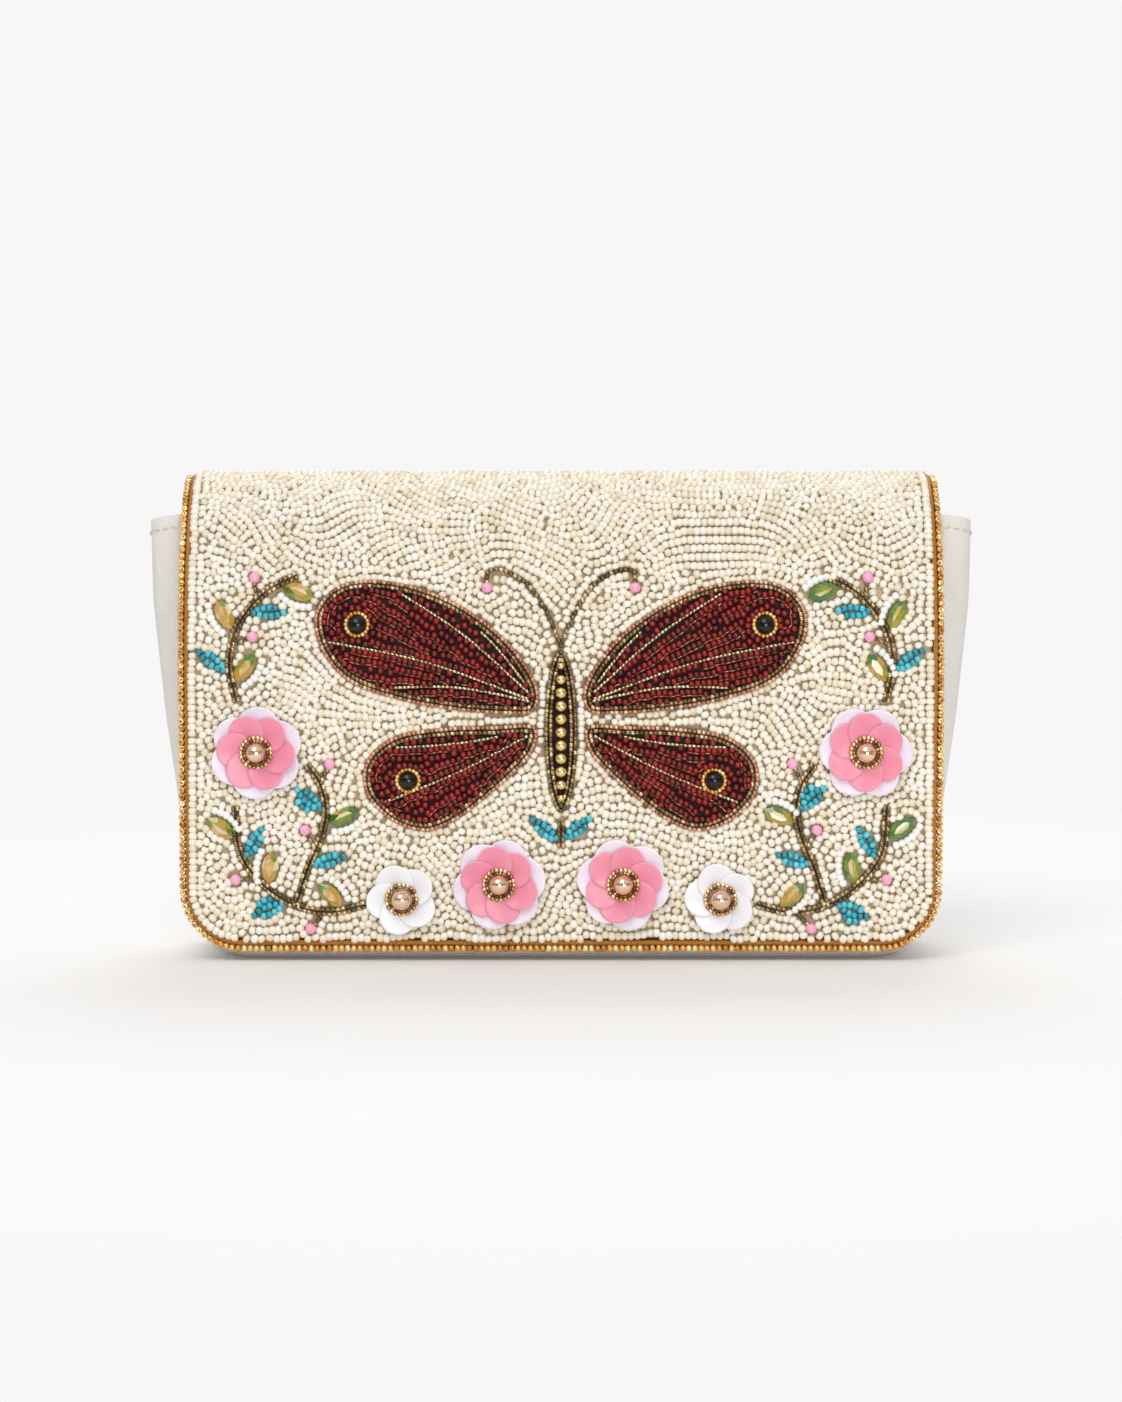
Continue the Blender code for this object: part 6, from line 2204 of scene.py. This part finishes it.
@dataclass
class Studio:
    """The pale seamless floor, the soft lamps and the camera."""

    aim: tuple[float, float, float] = (0.0, -0.026, 0.0780)
    distance: float = 1.098
    elevation: float = 5.0
    lens: float = 94.8
    sensor: float = 36.0
    backdrop: str = "#F8F7F7"
    sky_strength: float = 0.7
    floor_half: float = 6.0
    fade: tuple[float, float] = (0.2, 0.5)
    # From below to above: a bright horizon between two dark bands, for pearls and metal to mirror
    room: Stops = ((0.0, "#E6E4E2"), (0.36, "#C9C7C5"), (0.42, "#4A4745"), (0.47, "#4A4745"), (0.505, "#F2F1F0"),
                   (0.54, "#F2F1F0"), (0.58, "#4A4745"), (0.64, "#4A4745"), (0.72, "#E9E8E6"), (1.0, "#FFFFFF"))

    def build(self) -> None:
        """Sets the stage."""
        self.floor()
        self.world()
        self.lamps()
        self.camera()
        bpy.context.scene.view_settings.view_transform = "Standard"

    def floor(self) -> None:
        """A plain floor that fades into the backdrop, so that no edge shows."""
        size = self.floor_half
        made = to_object("floor", np.array([(-size, -size, 0), (size, -size, 0), (size, size, 0), (-size, size, 0)]),
                         [(0, 1, 2, 3)])
        paper = bpy.data.materials.new("seamless paper")
        paper.use_nodes = True
        tree = paper.node_tree
        tree.nodes.clear()
        where = add_node(tree, "ShaderNodeTexCoord").outputs["Object"]
        grain = add_node(tree, "ShaderNodeTexNoise", {"Vector": where, "Scale": 40.0})
        colour = add_node(tree, "ShaderNodeMix", {0: grain, 6: "#F5F4F3", 7: "#F7F6F5"}, data_type="RGBA")
        matt = add_node(tree, "ShaderNodeBsdfDiffuse", {"Color": colour})
        clear = add_node(tree, "ShaderNodeBsdfTransparent")
        far = add_node(tree, "ShaderNodeVectorMath", {0: where}, operation="LENGTH")
        fade = add_node(tree, "ShaderNodeMapRange", {"Value": far, "From Min": self.fade[0], "From Max": self.fade[1]},
                        interpolation_type="SMOOTHSTEP")
        mixed = add_node(tree, "ShaderNodeMixShader", {0: fade, 1: matt, 2: clear})
        add_node(tree, "ShaderNodeOutputMaterial", {"Surface": mixed})
        made.data.materials.append(paper)

    def world(self) -> None:
        """A soft sky for light, and the plain backdrop for the camera."""
        world = bpy.data.worlds.new("studio")
        bpy.context.scene.world = world
        world.use_nodes = True
        tree = world.node_tree
        tree.nodes.clear()
        rays = add_node(tree, "ShaderNodeLightPath")
        where = add_node(tree, "ShaderNodeTexCoord").outputs["Generated"]
        up = add_node(tree, "ShaderNodeSeparateXYZ", {"Vector": where}).outputs
        height = add_node(tree, "ShaderNodeMapRange", {"Value": up["Z"], "From Min": -1.0})
        room = add_node(tree, "ShaderNodeValToRGB", {"Fac": height}, self.room)
        front = add_node(tree, "ShaderNodeMapRange", {"Value": up["Y"], "From Min": -0.25, "From Max": 0.1},
                         interpolation_type="SMOOTHSTEP")
        sky = add_node(tree, "ShaderNodeMix", {0: front, 6: room, 7: self.backdrop}, data_type="RGBA")
        light = add_node(tree, "ShaderNodeBackground", {"Color": sky, "Strength": self.sky_strength})
        paper = add_node(tree, "ShaderNodeBackground", {"Color": self.backdrop, "Strength": 1.0})
        mixed = add_node(tree, "ShaderNodeMixShader", {0: rays.outputs["Is Camera Ray"], 1: light, 2: paper})
        add_node(tree, "ShaderNodeOutputWorld", {"Surface": mixed})

    def lamps(self) -> None:
        """A wide soft key above the front, a weaker fill low in front, and a rim light from behind."""
        for name, place, size, power in (("key", (-0.5, -1.4, 1.9), 1.4, 19.6), ("fill", (0.3, -1.4, 0.1), 0.6, 7.2),
                                         ("rim", (0.1, 0.9, 1.1), 0.8, 5.0)):
            lamp = bpy.data.lights.new(name, "AREA")
            lamp.shape = "SQUARE"
            lamp.size = size
            lamp.energy = power
            made = bpy.data.objects.new(name, lamp)
            made.location = place
            made.rotation_euler = (Vector(self.aim) - Vector(place)).to_track_quat("-Z", "Y").to_euler()
            bpy.context.scene.collection.objects.link(made)

    def camera(self) -> None:
        """The photograph's viewpoint: nearly level, a little above the middle."""
        lens = bpy.data.cameras.new("camera")
        lens.lens = self.lens
        lens.sensor_width = self.sensor
        lens.clip_start = 0.05
        made = bpy.data.objects.new("camera", lens)
        turn = math.radians(self.elevation)
        made.location = Vector(self.aim) + self.distance * Vector((0.0, -math.cos(turn), math.sin(turn)))
        made.rotation_euler = (Vector(self.aim) - made.location).to_track_quat("-Z", "Y").to_euler()
        bpy.context.scene.collection.objects.link(made)
        bpy.context.scene.camera = made


def main() -> None:
    """Builds the bag, its floor, its light and its camera."""
    logging.basicConfig(level=logging.INFO, format="%(message)s")
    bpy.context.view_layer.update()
    beads = BeadWork()
    flowers, butterfly, garland = Flowers(beads), Butterfly(beads), Garland(beads)
    for assembly in (Pouch(beads), Flap(beads), flowers, butterfly, garland):
        assembly.build()
    IvoryGround(beads).build(flowers, butterfly, garland)
    beads.clear()
    Studio().build()


if __name__ == "__main__":
    main()
